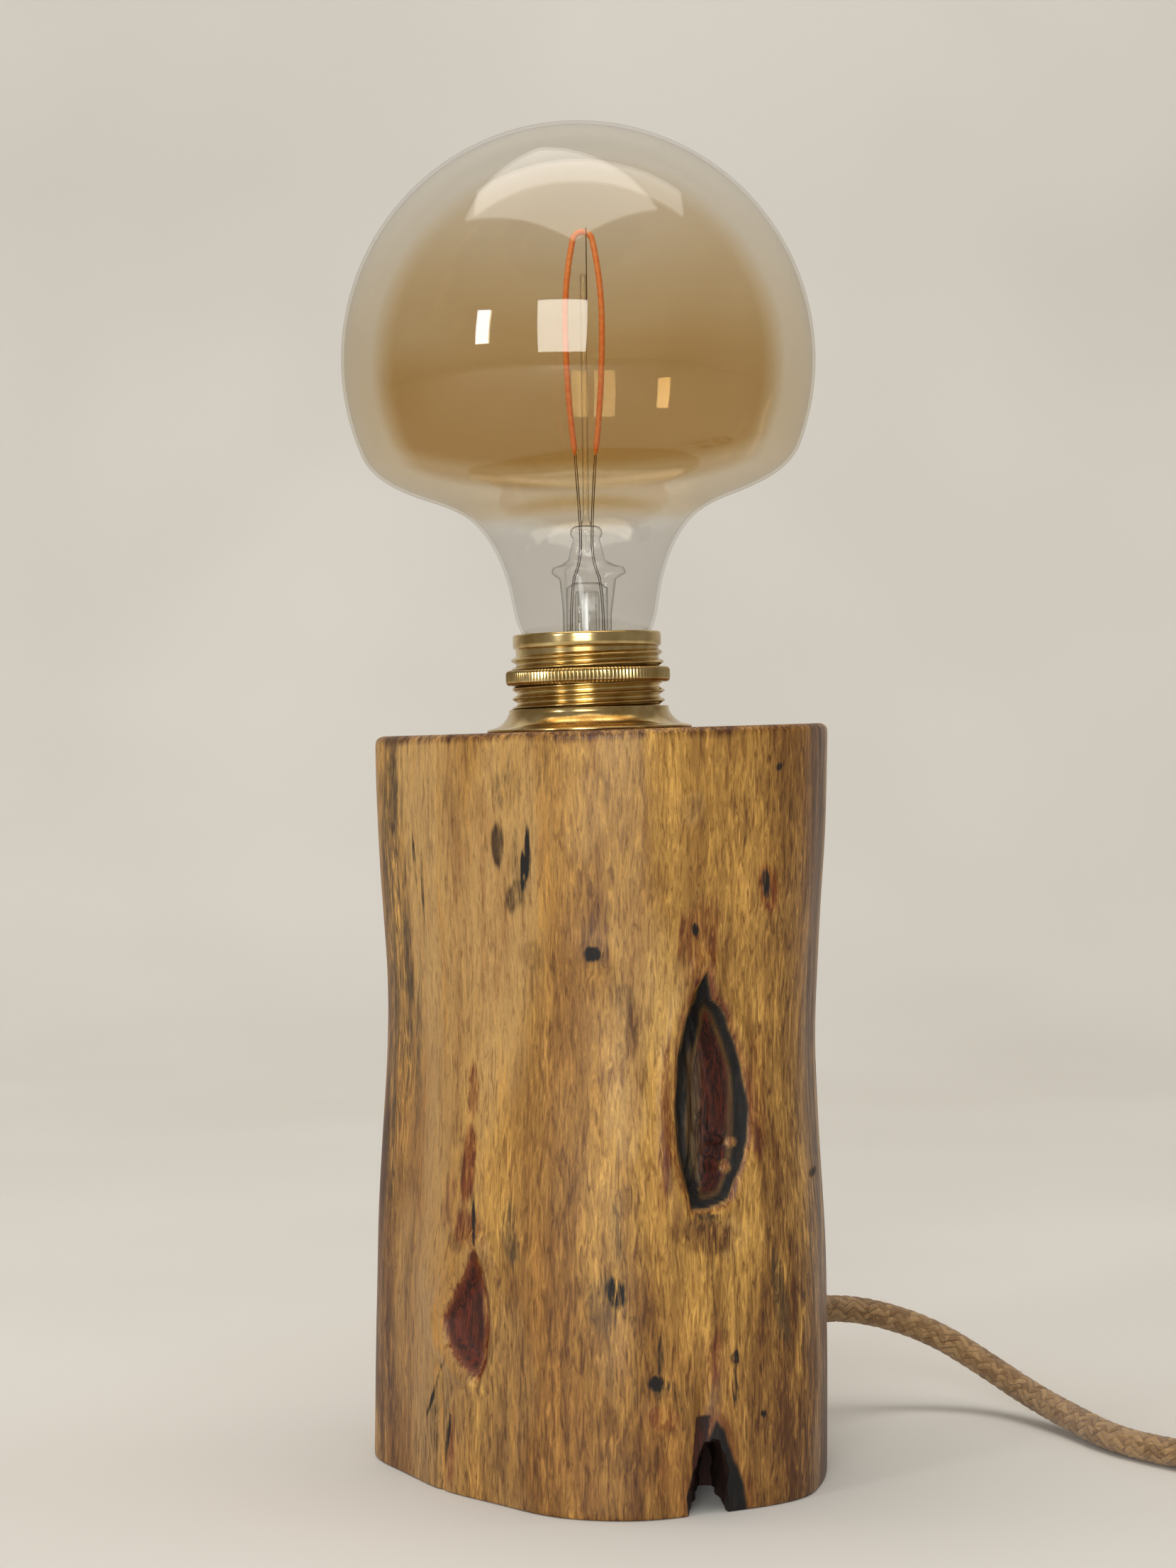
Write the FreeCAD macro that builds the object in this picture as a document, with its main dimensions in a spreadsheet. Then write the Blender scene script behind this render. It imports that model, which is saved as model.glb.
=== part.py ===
import FreeCAD, Part
import Sketcher
import math
import operator
import os

from FreeCAD import Placement, Rotation, Vector

# A bare bulb table lamp: a standing piece of tree trunk with a brass lamp holder let into its top,
# a large round filament bulb in the holder, and a jute covered lead with a rocker switch and a flat plug.
# Millimetres. The origin is the middle of the trunk's foot on the table, +Z is up, and the front is -Y.

doc = FreeCAD.newDocument("bare_bulb_table_lamp")

# ---------------------------------------------------------------- driving dimensions

DIMENSIONS = [
    # the trunk, and the tapered outline of its skin (angles from +X, counter-clockwise)
    ("log_height", 191.5, "height of the top cut at the lamp's axis"),
    ("log_radius", 60, "radius of the round parts of the foot"),
    ("log_lean", 1.75, "degrees that the top cut, holder and bulb lean to the left"),
    ("seat_across", -1.9, "where the lamp's axis meets the top cut"),
    ("top_round", 2, "worn edge of the top cut"),
    ("foot_round", 0.8, "worn edge of the foot"),
    ("flat_angle", 218, "middle of the flattened front left"),
    ("flat_depth", 0.175, "its depth as a share of the radius"),
    ("flat_spread", 37.3, "its half width in degrees"),
    ("brow_angle", 281, "the low swelling left of the split"),
    ("brow_rise", 0.022, "its height as a share of the radius"),
    ("brow_spread", 11, "its half width in degrees"),
    ("lobe_angle", 323, "the lobe right of the split"),
    ("lobe_rise", 0.066, "its height as a share of the radius"),
    ("lobe_spread", 16, "its half width in degrees"),
    ("waist_height", 115, "height of the slight waist"),
    ("waist_depth", 0.055, "its depth as a share of the radius"),
    ("waist_spread", 42, "its half height"),
    # what is cut and bored into the trunk
    ("pocket_radius", 21.6, "pocket for the holder"),
    ("pocket_depth", 44, "depth of the pocket below the top cut"),
    ("bore_radius", 8, "bore down the middle for the lead"),
    ("channel_radius", 6, "channel from the bore to the back"),
    ("exit_height", 29.5, "height of the channel above the table"),
    ("exit_angle", 45, "direction in which the lead leaves"),
    ("exit_reach", 57.8, "from the bore to the skin along the channel"),
    ("split_width", 9.4, "the split at the foot, at the skin"),
    ("split_height", 19, "its height at the skin"),
    ("split_end_width", 3.4, "its width at its blind end"),
    ("split_end_height", 11, "its height at its blind end"),
    ("hollow_width", 18.6, "the tall charred hollow"),
    ("hollow_height", 61, "its height"),
    ("hollow_depth", 9, "its depth below the skin"),
    ("eye_width", 12, "the eye shaped hollow at the lower left"),
    ("eye_height", 33, "its height"),
    ("eye_depth", 5, "its depth below the skin"),
    ("nick_height", 17, "the slit on the right hand side"),
    ("nick_depth", 1.6, "its depth below the skin"),
    # the lamp holder
    ("brim_radius", 26.8, "outer edge of the flared collar"),
    ("brim_thick", 0.8, "thickness of its edge"),
    ("collar_radius", 20.9, "top of the flared collar"),
    ("collar_height", 5.9, "height of the flared collar"),
    ("flare_radius", 6, "hollow curve of the flare"),
    ("rim_height", 25.4, "top of the holder above the trunk"),
    ("skirt_bore", 17.6, "inside radius of the holder's skirt"),
    ("skirt_root", 18.7, "root radius of its outer thread"),
    ("skirt_crest", 20, "crest radius of its outer thread"),
    ("skirt_pitch", 2.5, "pitch of its outer thread"),
    ("band_radius", 19.4, "plain band under the rim"),
    ("band_height", 3.5, "height of the plain band"),
    ("skirt_foot", 12, "depth of the skirt's lower end in the pocket"),
    ("ring_radius", 21.5, "outside of the knurled ring"),
    ("ring_height", 4, "height of the knurled ring"),
    ("ring_rest", 12.1, "lower face of the knurled ring above the trunk"),
    ("fit_gap", 0.1, "radial gap of a running fit"),
    ("cup_radius", 21.2, "outside of the holder's cup"),
    ("cup_wall", 0.95, "wall of the cup"),
    ("plate_thick", 2, "mounting plate under the cup"),
    ("plate_radius", 20, "radius of the mounting plate"),
    ("nipple_radius", 5, "threaded tube that holds the cup"),
    ("nipple_bore", 4.2, "bore of the threaded tube"),
    ("nut_height", 3, "height of the nut on the threaded tube"),
    ("nut_across", 14, "width of the nut across its flats"),
    ("grip_radius", 7.5, "cord grip above the nut"),
    ("grip_height", 7, "height of the cord grip"),
    ("insert_radius", 17.3, "porcelain insert"),
    ("insert_top", 9, "top of the porcelain wall"),
    ("insert_floor", 13.5, "depth of the porcelain floor"),
    ("insert_under", 19.5, "depth of the porcelain underside"),
    ("shell_bore", 13.36, "inside radius of the screw shell"),
    ("shell_wall", 0.5, "thickness of the screw shell"),
    ("shell_top", 7.5, "top of the screw shell"),
    # the bulb
    ("cap_pitch", 3.629, "pitch of the bulb's screw cap"),
    ("cap_root", 12.1, "root radius of the cap's thread"),
    ("cap_crest", 13.2, "crest radius of the cap's thread"),
    ("cap_wall", 0.4, "thickness of the cap"),
    ("cap_skirt", 13.1, "radius of the plain upper end of the cap"),
    ("cap_foot", 8.5, "depth of the thread's lower end"),
    ("cap_top", 14.6, "top of the cap"),
    ("contact_depth", 12.8, "depth of the bulb's centre contact"),
    ("dome_radius", 61.9, "round top of the glass"),
    ("dome_centre", 96.5, "height of its centre above the trunk"),
    ("dome_foot", 73, "height at which the round top ends"),
    ("glass_wall", 0.8, "thickness of the glass"),
    ("stem_radius", 6.35, "glass stem inside the neck"),
    ("stem_wall", 0.9, "its wall"),
    ("stem_lean", 1, "degrees that the stem leans back to upright"),
    ("stem_foot", 10.8, "lower end of the stem"),
    ("bead_top", 53.4, "top of the glass bead on the stem"),
    ("exhaust_radius", 3.25, "exhaust tube inside the stem"),
    ("rod_radius", 0.8, "glass rod that carries the filament's hook"),
    ("rod_top", 119.4, "top of the glass rod"),
    ("filament_radius", 0.8, "half the filament's thickness"),
    ("filament_foot", 72, "lower ends of the filament"),
    ("filament_top", 130.4, "top of the filament's centre line"),
    ("filament_foot_half", 2.65, "half the distance between its ends"),
    ("filament_wide_half", 4.8, "half its greatest width"),
    ("filament_wide_at", 107, "height of its greatest width"),
    ("filament_bend", 2.6, "radius of the bend at its top"),
    # the lead, its switch and its plug
    ("cord_radius", 3.75, "jute covered lead"),
    ("bush_inside", 14, "length of the exit bush in the wood"),
    ("bush_outside", 8, "length of the exit bush outside the wood"),
    ("coil_radius", 38.5, "middle radius of the coil's turns"),
    ("coil_pitch", 8.1, "from turn to turn and from layer to layer"),
    ("coil_start", -90, "angle at which the lead joins the coil"),
    ("coil_end", 100, "angle at which it leaves, five turns further on"),
    ("coil_x", 325, "centre of the coil, right of the trunk"),
    ("coil_rise", 0.85, "height of the lowest turn above the table"),
    ("tie_thick", 0.7, "band round the coil"),
    ("tie_width", 7, "width of the band"),
    ("switch_x", 239.6, "middle of the switch, right of the trunk"),
    ("switch_y", -26, "middle of the switch, behind the front"),
    ("switch_long", 52, "length of the switch"),
    ("switch_wide", 23, "width of the switch"),
    ("switch_high", 15.6, "height of the switch"),
    ("switch_wall", 1.6, "wall of the switch shells"),
    ("switch_round", 9, "corner radius in plan"),
    ("sleeve_long", 10, "strain reliefs on the switch"),
    ("window_long", 22.6, "window for the rocker"),
    ("window_wide", 11, "window for the rocker"),
    ("rocker_throw", 8, "degrees that the rocker tips each way"),
    ("rocker_pivot", 11.8, "height of the rocker's pin"),
    ("pivot_radius", 1, "radius of the rocker's pin"),
    ("plug_wide", 35.3, "flat two pin plug"),
    ("plug_thick", 13.7, "flat two pin plug"),
    ("plug_long", 36, "length of the plug's body"),
    ("plug_sleeve", 20, "strain relief on the plug"),
    ("pin_radius", 2, "plug pins"),
    ("pin_long", 19, "plug pins"),
    ("pin_spacing", 18.6, "between the plug pins"),
    ("pin_cover", 10, "insulated length of each pin"),
]


class Size:
    """A number that remembers the spreadsheet formula it comes from."""

    def __init__(self, value, formula):
        self.value, self.formula = float(value), formula

    def joined(self, other, sign, work, swapped=False):
        other = other if isinstance(other, Size) else Size(other, repr(float(other)))
        one, two = (other, self) if swapped else (self, other)
        return Size(work(one.value, two.value), f"({one.formula} {sign} {two.formula})")

    def __add__(self, other):
        return self.joined(other, "+", operator.add)

    def __radd__(self, other):
        return self.joined(other, "+", operator.add, True)

    def __sub__(self, other):
        return self.joined(other, "-", operator.sub)

    def __rsub__(self, other):
        return self.joined(other, "-", operator.sub, True)

    def __mul__(self, other):
        return self.joined(other, "*", operator.mul)

    def __rmul__(self, other):
        return self.joined(other, "*", operator.mul, True)

    def __truediv__(self, other):
        return self.joined(other, "/", operator.truediv)

    def __neg__(self):
        return Size(-self.value, f"(0 - {self.formula})")

    def __float__(self):
        return self.value


class Sizes:
    """The spreadsheet's cells by name."""


sheet = doc.addObject("Spreadsheet::Sheet", "sizes")
size = Sizes()
for row, (alias, value, note) in enumerate(DIMENSIONS, start=1):
    sheet.set(f"A{row}", alias)
    sheet.set(f"B{row}", str(value))
    sheet.set(f"C{row}", note)
    sheet.setAlias(f"B{row}", alias)
    setattr(size, alias, Size(value, f"sizes.{alias}"))
doc.recompute()

# ---------------------------------------------------------------- helpers

UP = Vector(0, 0, 1)
ORIGIN = Vector(0, 0, 0)


def give(thing, name, value):
    """Set a property to a number, or bind it to the spreadsheet."""
    if isinstance(value, Size):
        setattr(thing, name, value.value)
        thing.setExpression(name, value.formula)
    else:
        setattr(thing, name, value)


def solid(kind, name, at=None, **sizes):
    """A primitive with its sizes bound to the spreadsheet."""
    thing = doc.addObject(kind, name)
    for what, value in sizes.items():
        give(thing, what, value)
    if at is not None:
        thing.Placement = at
    return thing


def at(x=0.0, y=0.0, z=0.0, axis=UP, angle=0.0):
    return Placement(Vector(float(x), float(y), float(z)), Rotation(axis, float(angle)))


def along(start, direction):
    """A placement whose own Z runs along a direction."""
    return Placement(start, Rotation(UP, direction))


def rod(name, radius, length, place=None):
    return solid("Part::Cylinder", name, place, Radius=radius, Height=length)


def block(name, long, wide, high, x=0.0, y=0.0, z=0.0):
    """A box centred on X and Y, standing at a height."""
    low = at(float(x) - float(long) / 2, float(y) - float(wide) / 2, z)
    return solid("Part::Box", name, low, Length=long, Width=wide, Height=high)


def cut(name, base, *tools):
    """A base less its tools, taken away one after another."""
    for i, tool in enumerate(tools, start=1):
        thing = doc.addObject("Part::Cut", name if i == len(tools) else f"{name}_step{i}")
        thing.Base, thing.Tool, thing.Refine = base, tool, False
        base = thing
    return base


def fuse(name, *shapes):
    thing = doc.addObject("Part::MultiFuse", name)
    thing.Shapes, thing.Refine = list(shapes), False
    return thing


def group(name, *shapes):
    """Separate solids that count as one piece, such as a pair of equal screws."""
    thing = doc.addObject("Part::Compound", name)
    thing.Links = list(shapes)
    return thing


def feature(name, shape, place=None):
    thing = doc.addObject("Part::Feature", name)
    thing.Shape = shape
    if place is not None:
        thing.Placement = place
    return thing


def origin_plane(body, role):
    return next(p for p in body.Origin.OriginFeatures if p.Role == role)


def outline(body, name, role, points):
    """A closed sketch through points bound to the spreadsheet.

    A third number on a point is the radius of the arc to the next point: positive turns left on the
    way, negative turns right."""
    sketch = body.newObject("Sketcher::SketchObject", name)
    sketch.AttachmentSupport = [(origin_plane(body, role), "")]
    sketch.MapMode = "FlatFace"
    count = len(points)
    flat = [Vector(float(p[0]), float(p[1]), 0) for p in points]
    ends = []
    for i, point in enumerate(points):
        a, b = flat[i], flat[(i + 1) % count]
        if len(point) == 2:
            edge = sketch.addGeometry(Part.LineSegment(a, b), False)
            ends.append((edge, 1, 2))
            continue
        turn = 1 if float(point[2]) > 0 else -1
        radius = abs(float(point[2]))
        half = (b - a) * 0.5
        side = Vector(-half.y, half.x, 0).normalize() * turn
        centre = a + half + side * math.sqrt(max(radius**2 - half.Length**2, 0))
        from_a, from_b = a - centre, b - centre
        angles = [math.atan2(from_a.y, from_a.x), math.atan2(from_b.y, from_b.x)]
        if turn < 0:
            angles.reverse()
        if angles[1] < angles[0]:
            angles[1] += 2 * math.pi
        circle = Part.Circle(centre, UP, radius)
        edge = sketch.addGeometry(Part.ArcOfCircle(circle, *angles), False)
        ends.append((edge, 1, 2) if turn > 0 else (edge, 2, 1))
    for i, (edge, start, _) in enumerate(ends):
        last, _, finish = ends[i - 1]
        sketch.addConstraint(Sketcher.Constraint("Coincident", last, finish, edge, start))
        for word, axis, value in (("DistanceX", -2, points[i][0]), ("DistanceY", -1, points[i][1])):
            pin(sketch, word, axis, edge, start, value)
        if len(points[i]) == 3:
            value = points[i][2] if float(points[i][2]) > 0 else -1 * points[i][2]
            bind(sketch, Sketcher.Constraint("Radius", edge, float(value)), value)
    return sketch


def pin(sketch, word, axis, edge, end, value):
    """Hold one end of an edge at a distance from an axis of its sketch."""
    if float(value) == 0:
        sketch.addConstraint(Sketcher.Constraint("PointOnObject", edge, end, axis))
    elif float(value) > 0:
        bind(sketch, Sketcher.Constraint(word, -1, 1, edge, end, float(value)), value)
    else:
        bind(sketch, Sketcher.Constraint(word, edge, end, -1, 1, -float(value)), -1 * value)


def bind(sketch, constraint, value):
    index = sketch.addConstraint(constraint)
    if isinstance(value, Size):
        sketch.setExpression(f"Constraints[{index}]", value.formula)


def turned(name, points, place=None):
    """A body of revolution about its own Z, from points (radius, height)."""
    body = doc.addObject("PartDesign::Body", name)
    sketch = outline(body, f"{name}_profile", "XZ_Plane", points)
    spin = body.newObject("PartDesign::Revolution", f"{name}_turned")
    spin.Profile = sketch
    spin.ReferenceAxis = (sketch, ["V_Axis"])
    spin.Angle = 360
    if place is not None:
        body.Placement = place
    return body


def padded(name, role, points, length, middle=False, place=None):
    """A body padded from a closed outline in one of its own planes."""
    body = doc.addObject("PartDesign::Body", name)
    sketch = outline(body, f"{name}_outline", role, points)
    pad = body.newObject("PartDesign::Pad", f"{name}_pad")
    pad.Profile = sketch
    pad.SideType = "Symmetric" if middle else "One side"
    give(pad, "Length", length)
    if place is not None:
        body.Placement = place
    return body


def rounded(body, radius, wanted):
    """Round the edges of a body's last feature that a test picks by their middle point."""
    doc.recompute()
    last = body.Tip
    names = []
    for i, edge in enumerate(last.Shape.Edges, start=1):
        if wanted(edge.CenterOfMass, edge):
            names.append(f"Edge{i}")
    fillet = body.newObject("PartDesign::Fillet", f"{body.Name}_round")
    fillet.Base = (last, names)
    give(fillet, "Radius", radius)
    return body


def bend(corner_in, corner, corner_out):
    """An arc between two points that are equally far from a corner, tangent to both its sides."""
    middle = (corner_in + corner_out) * 0.5
    half = (corner_out - corner_in).Length / 2
    lean = math.atan2((corner - middle).Length, half)
    if lean < 1e-9:
        return Part.LineSegment(corner_in, corner_out).toShape()
    top = middle + (corner - middle) * (math.tan(lean / 2) / math.tan(lean))
    return Part.Arc(corner_in, top, corner_out).toShape()


def path_of(points, radius=None, told=None):
    """Straight runs joined by tangent arcs. Without a radius, each arc is as large as its runs allow."""
    points = [Vector(*p) for p in points]
    edges, start, radii = [], points[0], []
    for before, corner, after in zip(points, points[1:], points[2:]):
        one, two = before - corner, after - corner
        half_turn = (math.pi - one.getAngle(two)) / 2
        shorter = min(one.Length, two.Length)
        bow = radius if radius else 0.45 * shorter / math.tan(half_turn)
        reach = bow * math.tan(half_turn)
        first = corner + one.normalize() * reach
        second = corner + two.normalize() * reach
        edges.append(Part.LineSegment(start, first).toShape())
        edges.append(bend(first, corner, second))
        start = second
        radii.append(bow)
    edges.append(Part.LineSegment(start, points[-1]).toShape())
    if told:
        print(f"{told}: bend radii {[round(r, 1) for r in radii]}")
    return Part.Wire(edges)


def tube(name, wire, radius, place=None, frenet=False):
    """A round solid along a wire, its volume compared with its section times its length."""
    first = wire.Edges[0]
    start = first.valueAt(first.FirstParameter)
    direction = first.tangentAt(first.FirstParameter)
    ring = Part.Wire(Part.Circle(start, direction, float(radius)).toShape())
    maker = Part.BRepOffsetAPI.MakePipeShell(wire)
    if frenet:
        maker.setFrenetMode(True)
    maker.add(ring)
    maker.build()
    maker.makeSolid()
    shape = maker.shape()
    expected = math.pi * float(radius) ** 2 * wire.Length
    off = abs(shape.Volume / expected - 1)
    print(f"{name}: length {wire.Length:.1f}, volume off by {100 * off:.3f} %")
    if off > 0.01:
        raise ValueError(f"{name} is not a whole tube")
    return feature(name, shape, place)


def ridge(name, pitch, turns, start, section):
    """The helical ridge of a thread, swept from a closed section of (radius, height) points."""
    base = float(section[0][0])
    helix = Part.makeHelix(float(pitch), float(pitch) * turns, base)
    helix.translate(Vector(0, 0, float(start)))
    corners = [Vector(float(r), 0, float(start) + float(h)) for r, h in section]
    face = Part.makePolygon(corners + corners[:1])
    return feature(name, Part.Wire(helix).makePipeShell([face], True, True))


# ---------------------------------------------------------------- where things stand

LEAN = Rotation(Vector(0, 1, 0), -float(size.log_lean))
SEAT = Placement(Vector(float(size.seat_across), 0, float(size.log_height)), LEAN)
STEM = SEAT.multiply(
    Placement(
        ORIGIN,
        Rotation(Vector(0, 1, 0), float(size.stem_lean)),
        Vector(0, 0, float(size.stem_foot)),
    )
)
OUT = Rotation(UP, float(size.exit_angle)).multVec(Vector(1, 0, 0))
# where the bore's axis passes the channel's, and where the lead leaves the wood and the bush
TURN_DOWN = (float(size.log_height) - float(size.exit_height)) * math.tan(math.radians(float(size.log_lean)))
BORE_FOOT = Vector(float(size.seat_across) + TURN_DOWN, 0, float(size.exit_height))
SKIN = BORE_FOOT + OUT * float(size.exit_reach)
LEAD_OUT = SKIN + OUT * float(size.bush_outside)
COIL_STEP = float(size.coil_pitch)

# ---------------------------------------------------------------- the trunk


def bump(angle, middle, spread, power=2):
    off = (angle - float(middle) + 180) % 360 - 180
    return math.exp(-abs(off / float(spread)) ** power)


def skin_radius(angle, height):
    """The trunk's radius: round, flattened at the front left, with a lobe right of the split."""
    share = 1 - float(size.flat_depth) * bump(angle, size.flat_angle, size.flat_spread, 4)
    share += float(size.brow_rise) * bump(angle, size.brow_angle, size.brow_spread)
    share += float(size.lobe_rise) * bump(angle, size.lobe_angle, size.lobe_spread)
    off = (height - float(size.waist_height)) / float(size.waist_spread)
    return float(size.log_radius) * share * (1 - float(size.waist_depth) * math.exp(-(off**2)))


def skin_point(angle, height):
    r, a = skin_radius(angle, height), math.radians(angle)
    return Vector(r * math.cos(a), r * math.sin(a), height)


def trunk():
    """The trunk's skin as a loft, cut at the leaning top, with worn edges."""
    rings = []
    for height in range(0, 211, 30):
        curve = Part.BSplineCurve()
        curve.interpolate(Points=[skin_point(a, height) for a in range(0, 360, 10)], PeriodicFlag=True)
        rings.append(Part.Wire(curve.toShape()))
    skin = Part.makeLoft(rings, True, False)
    above = Part.makeBox(400, 400, 100, Vector(-200, -200, 0))
    above.Placement = SEAT
    body = skin.cut(above)
    flat = [f for f in body.Faces if abs(f.normalAt(0, 0).z) > 0.99]
    flat.sort(key=lambda f: f.CenterOfMass.z)
    body = body.makeFillet(float(size.foot_round), flat[0].Edges)
    top = max(body.Faces, key=lambda f: f.CenterOfMass.z)
    return feature("trunk_skin", body.makeFillet(float(size.top_round), top.Edges))


def arch(width, height, lean, depth):
    """A pointed opening standing on the table, as a wire across Y."""
    half = float(width) / 2
    left, right = Vector(-half, depth, -1), Vector(half, depth, -1)
    tip = Vector(lean, depth, float(height))
    low = float(height) / 2
    sides = [
        Part.Arc(right, Vector(half * 0.82 + lean / 3, depth, low), tip).toShape(),
        Part.Arc(tip, Vector(-half * 0.82 + lean / 3, depth, low), left).toShape(),
        Part.LineSegment(left, right).toShape(),
    ]
    return Part.Wire(sides)


def split_tool():
    """The tapering split at the foot, open at the front."""
    depth = 45
    mouth = arch(size.split_width * 1.5, size.split_height * 1.2, 1.5, -depth / 2)
    end = arch(size.split_end_width, size.split_end_height, 0.5, depth / 2)
    return feature("split_tool", Part.makeLoft([mouth, end], True, True), at(27.2, -47.5, 0))


def scoop(name, width, height, depth, angle, middle, turn=0.0):
    """An egg shaped hollow, cut to its depth below the skin at an angle and height."""
    lift = 0.35
    centre = skin_point(angle, middle)
    inward = Vector(centre.x, centre.y, 0).normalize()
    place = Placement(centre + inward * (float(depth) * lift), Rotation(UP, angle))
    place = place.multiply(at(axis=Vector(1, 0, 0), angle=turn))
    shape = solid("Part::Ellipsoid", name, place)
    give(shape, "Radius1", height / 2)
    give(shape, "Radius2", depth * (1 + lift))
    give(shape, "Radius3", width / 2)
    return shape


def log_body():
    drop = size.pocket_depth
    pocket = rod("log_pocket", size.pocket_radius, drop + 5, SEAT.multiply(at(z=-drop)))
    reach = float(size.log_height) - float(size.exit_height) + float(size.bore_radius) + 2
    bore = rod("log_bore", size.bore_radius, reach, SEAT.multiply(at(z=-reach)))
    channel = rod("log_channel", size.channel_radius, size.exit_reach + 20, along(BORE_FOOT, OUT))
    hollows = [
        scoop("charred_hollow", size.hollow_width, size.hollow_height, size.hollow_depth, 298, 102, -4),
        scoop("eye_hollow", size.eye_width, size.eye_height, size.eye_depth, 230, 47, -6),
        scoop("side_nick", size.nick_depth * 2.5, size.nick_height, size.nick_depth, 357, 115),
    ]
    return cut("log_body", trunk(), pocket, bore, channel, split_tool(), *hollows)


def cord_bush():
    """Tapered rubber bush in the channel, with its narrow end outside."""
    inner, outer, hole = size.bush_inside, size.bush_outside, size.cord_radius + size.fit_gap
    wide = size.channel_radius - size.fit_gap
    points = [
        (hole, -inner),
        (wide, -inner),
        (wide, 1.5),
        (wide - 0.4, 3.5),
        (size.cord_radius + 0.9, outer - 1),
        (size.cord_radius + 0.6, outer),
        (hole, outer),
    ]
    return turned("cord_bush", points, along(SKIN, OUT))


# ---------------------------------------------------------------- fixing under the holder


def mounting_plate():
    """Round steel plate on the pocket's floor, with the tube's hole and two countersunk screw holes."""
    low = -size.pocket_depth
    disc = rod("plate_disc", size.plate_radius, size.plate_thick, at(z=low))
    tools = [rod("plate_hole", size.nipple_radius + 0.05, 10, at(z=low - 4))]
    for side in (-1, 1):
        tools.append(rod(f"plate_screw_hole{side + 1}", 2.1, 10, at(14 * side, 0, low - 4)))
        sink = solid("Part::Cone", f"plate_sink{side + 1}", at(14 * side, 0, low), Height=size.plate_thick)
        sink.Radius1, sink.Radius2 = 2.1, 4.15
        tools.append(sink)
    plate = cut("mounting_plate", disc, *tools)
    plate.Placement = SEAT
    return plate


def plate_screws():
    """Two countersunk wood screws through the plate."""
    top = float(size.plate_thick) - float(size.pocket_depth)
    screws = []
    for side in (-1, 1):
        points = [(0, top - 20), (1.5, top - 15), (1.5, top - 4), (2, top - 2), (4, top), (0, top)]
        screw = turned(f"wood_screw{side + 1}", points, at(14 * side, 0, 0))
        slot = block(f"wood_screw_slot{side + 1}", 1, 7, 1, 14 * side, 0, top - 0.8)
        screws.append(cut(f"wood_screw_cut{side + 1}", screw, slot))
    pair = group("plate_screws", *screws)
    pair.Placement = SEAT
    return pair


def threaded_nipple():
    """Short threaded tube that carries the cup on the plate and lets the lead through."""
    low, high = -size.pocket_depth - 8, -size.pocket_depth + size.plate_thick + 4
    bore, edge = size.nipple_bore, 0.5
    points = [
        (bore, low),
        (size.nipple_radius - edge, low),
        (size.nipple_radius, low + edge),
        (size.nipple_radius, high - edge),
        (size.nipple_radius - edge, high),
        (bore, high),
    ]
    return turned("threaded_nipple", points, SEAT)


def nipple_nut():
    """Hexagon nut inside the cup."""
    low = -size.pocket_depth + size.plate_thick + size.cup_wall
    hexagon = solid("Part::Prism", "nut_hexagon", at(z=low), Height=size.nut_height)
    give(hexagon, "Circumradius", size.nut_across / math.sqrt(3))
    hole = rod("nut_hole", size.nipple_radius + 0.05, 10, at(z=low - 2))
    nut = cut("nipple_nut", hexagon, hole)
    nut.Placement = SEAT
    return nut


def cord_grip():
    """Nylon collar on the nut that holds the lead."""
    low = -size.pocket_depth + size.plate_thick + size.cup_wall + size.nut_height
    high, hole = low + size.grip_height, size.cord_radius + 0.05
    points = [
        (hole, low + 0.3),
        (size.nipple_radius + 0.4, low + 0.3),
        (size.nipple_radius + 0.4, low),
        (size.grip_radius, low),
        (size.grip_radius, high - 1.5),
        (size.grip_radius - 1.5, high),
        (hole, high),
    ]
    return turned("cord_grip", points, SEAT)


# ---------------------------------------------------------------- the brass holder


def socket_cup():
    """Cup in the pocket: closed below round the threaded tube, open above for the skirt."""
    low = -size.pocket_depth + size.plate_thick
    wall, out = size.cup_wall, size.cup_radius
    points = [
        (size.nipple_radius + 0.05, low),
        (out - 2, low),
        (out, low + 2),
        (out, -1.5),
        (out - wall, -1.5),
        (out - wall, low + 2.4),
        (out - 2.4, low + wall),
        (size.nipple_radius + 0.05, low + wall),
    ]
    return turned("socket_cup", points, SEAT)


def socket_flange():
    """Flared collar that covers the pocket's edge."""
    hole = size.skirt_crest + 0.15
    points = [
        (size.brim_radius - 3.6, 0),
        (size.brim_radius, 0),
        (size.brim_radius, size.brim_thick),
        (size.brim_radius - 1.1, size.brim_thick + 0.15, size.flare_radius * -1),
        (size.collar_radius, size.collar_height - 0.9),
        (size.collar_radius, size.collar_height - 0.2),
        (size.collar_radius - 0.2, size.collar_height),
        (hole, size.collar_height),
        (hole, size.collar_height - 2.6),
    ]
    return turned("socket_flange", points, SEAT)


def socket_skirt():
    """Threaded skirt with a plain band and rounded lip at its top."""
    low, high, lip = -size.skirt_foot, size.rim_height, 0.7
    under = high - size.band_height
    points = [
        (size.skirt_bore, low),
        (size.skirt_root, low),
        (size.skirt_root, under - 0.5),
        (size.band_radius, under),
        (size.band_radius, high - lip, lip),
        (size.band_radius - lip, high),
        (size.skirt_bore + lip, high, lip),
        (size.skirt_bore, high - lip),
    ]
    core = turned("skirt_core", points)
    pitch, start, deep = float(size.skirt_pitch), 2.4, 0.5
    turns = (float(under) - 0.4 - start) / pitch - 0.5
    section = [
        (size.skirt_root - deep, -0.44 * pitch),
        (size.skirt_crest, -0.10 * pitch),
        (size.skirt_crest, 0.10 * pitch),
        (size.skirt_root - deep, 0.44 * pitch),
    ]
    thread = ridge("skirt_thread", pitch, turns, start, section)
    skirt = fuse("socket_skirt", core, thread)
    skirt.Placement = SEAT
    return skirt


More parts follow.
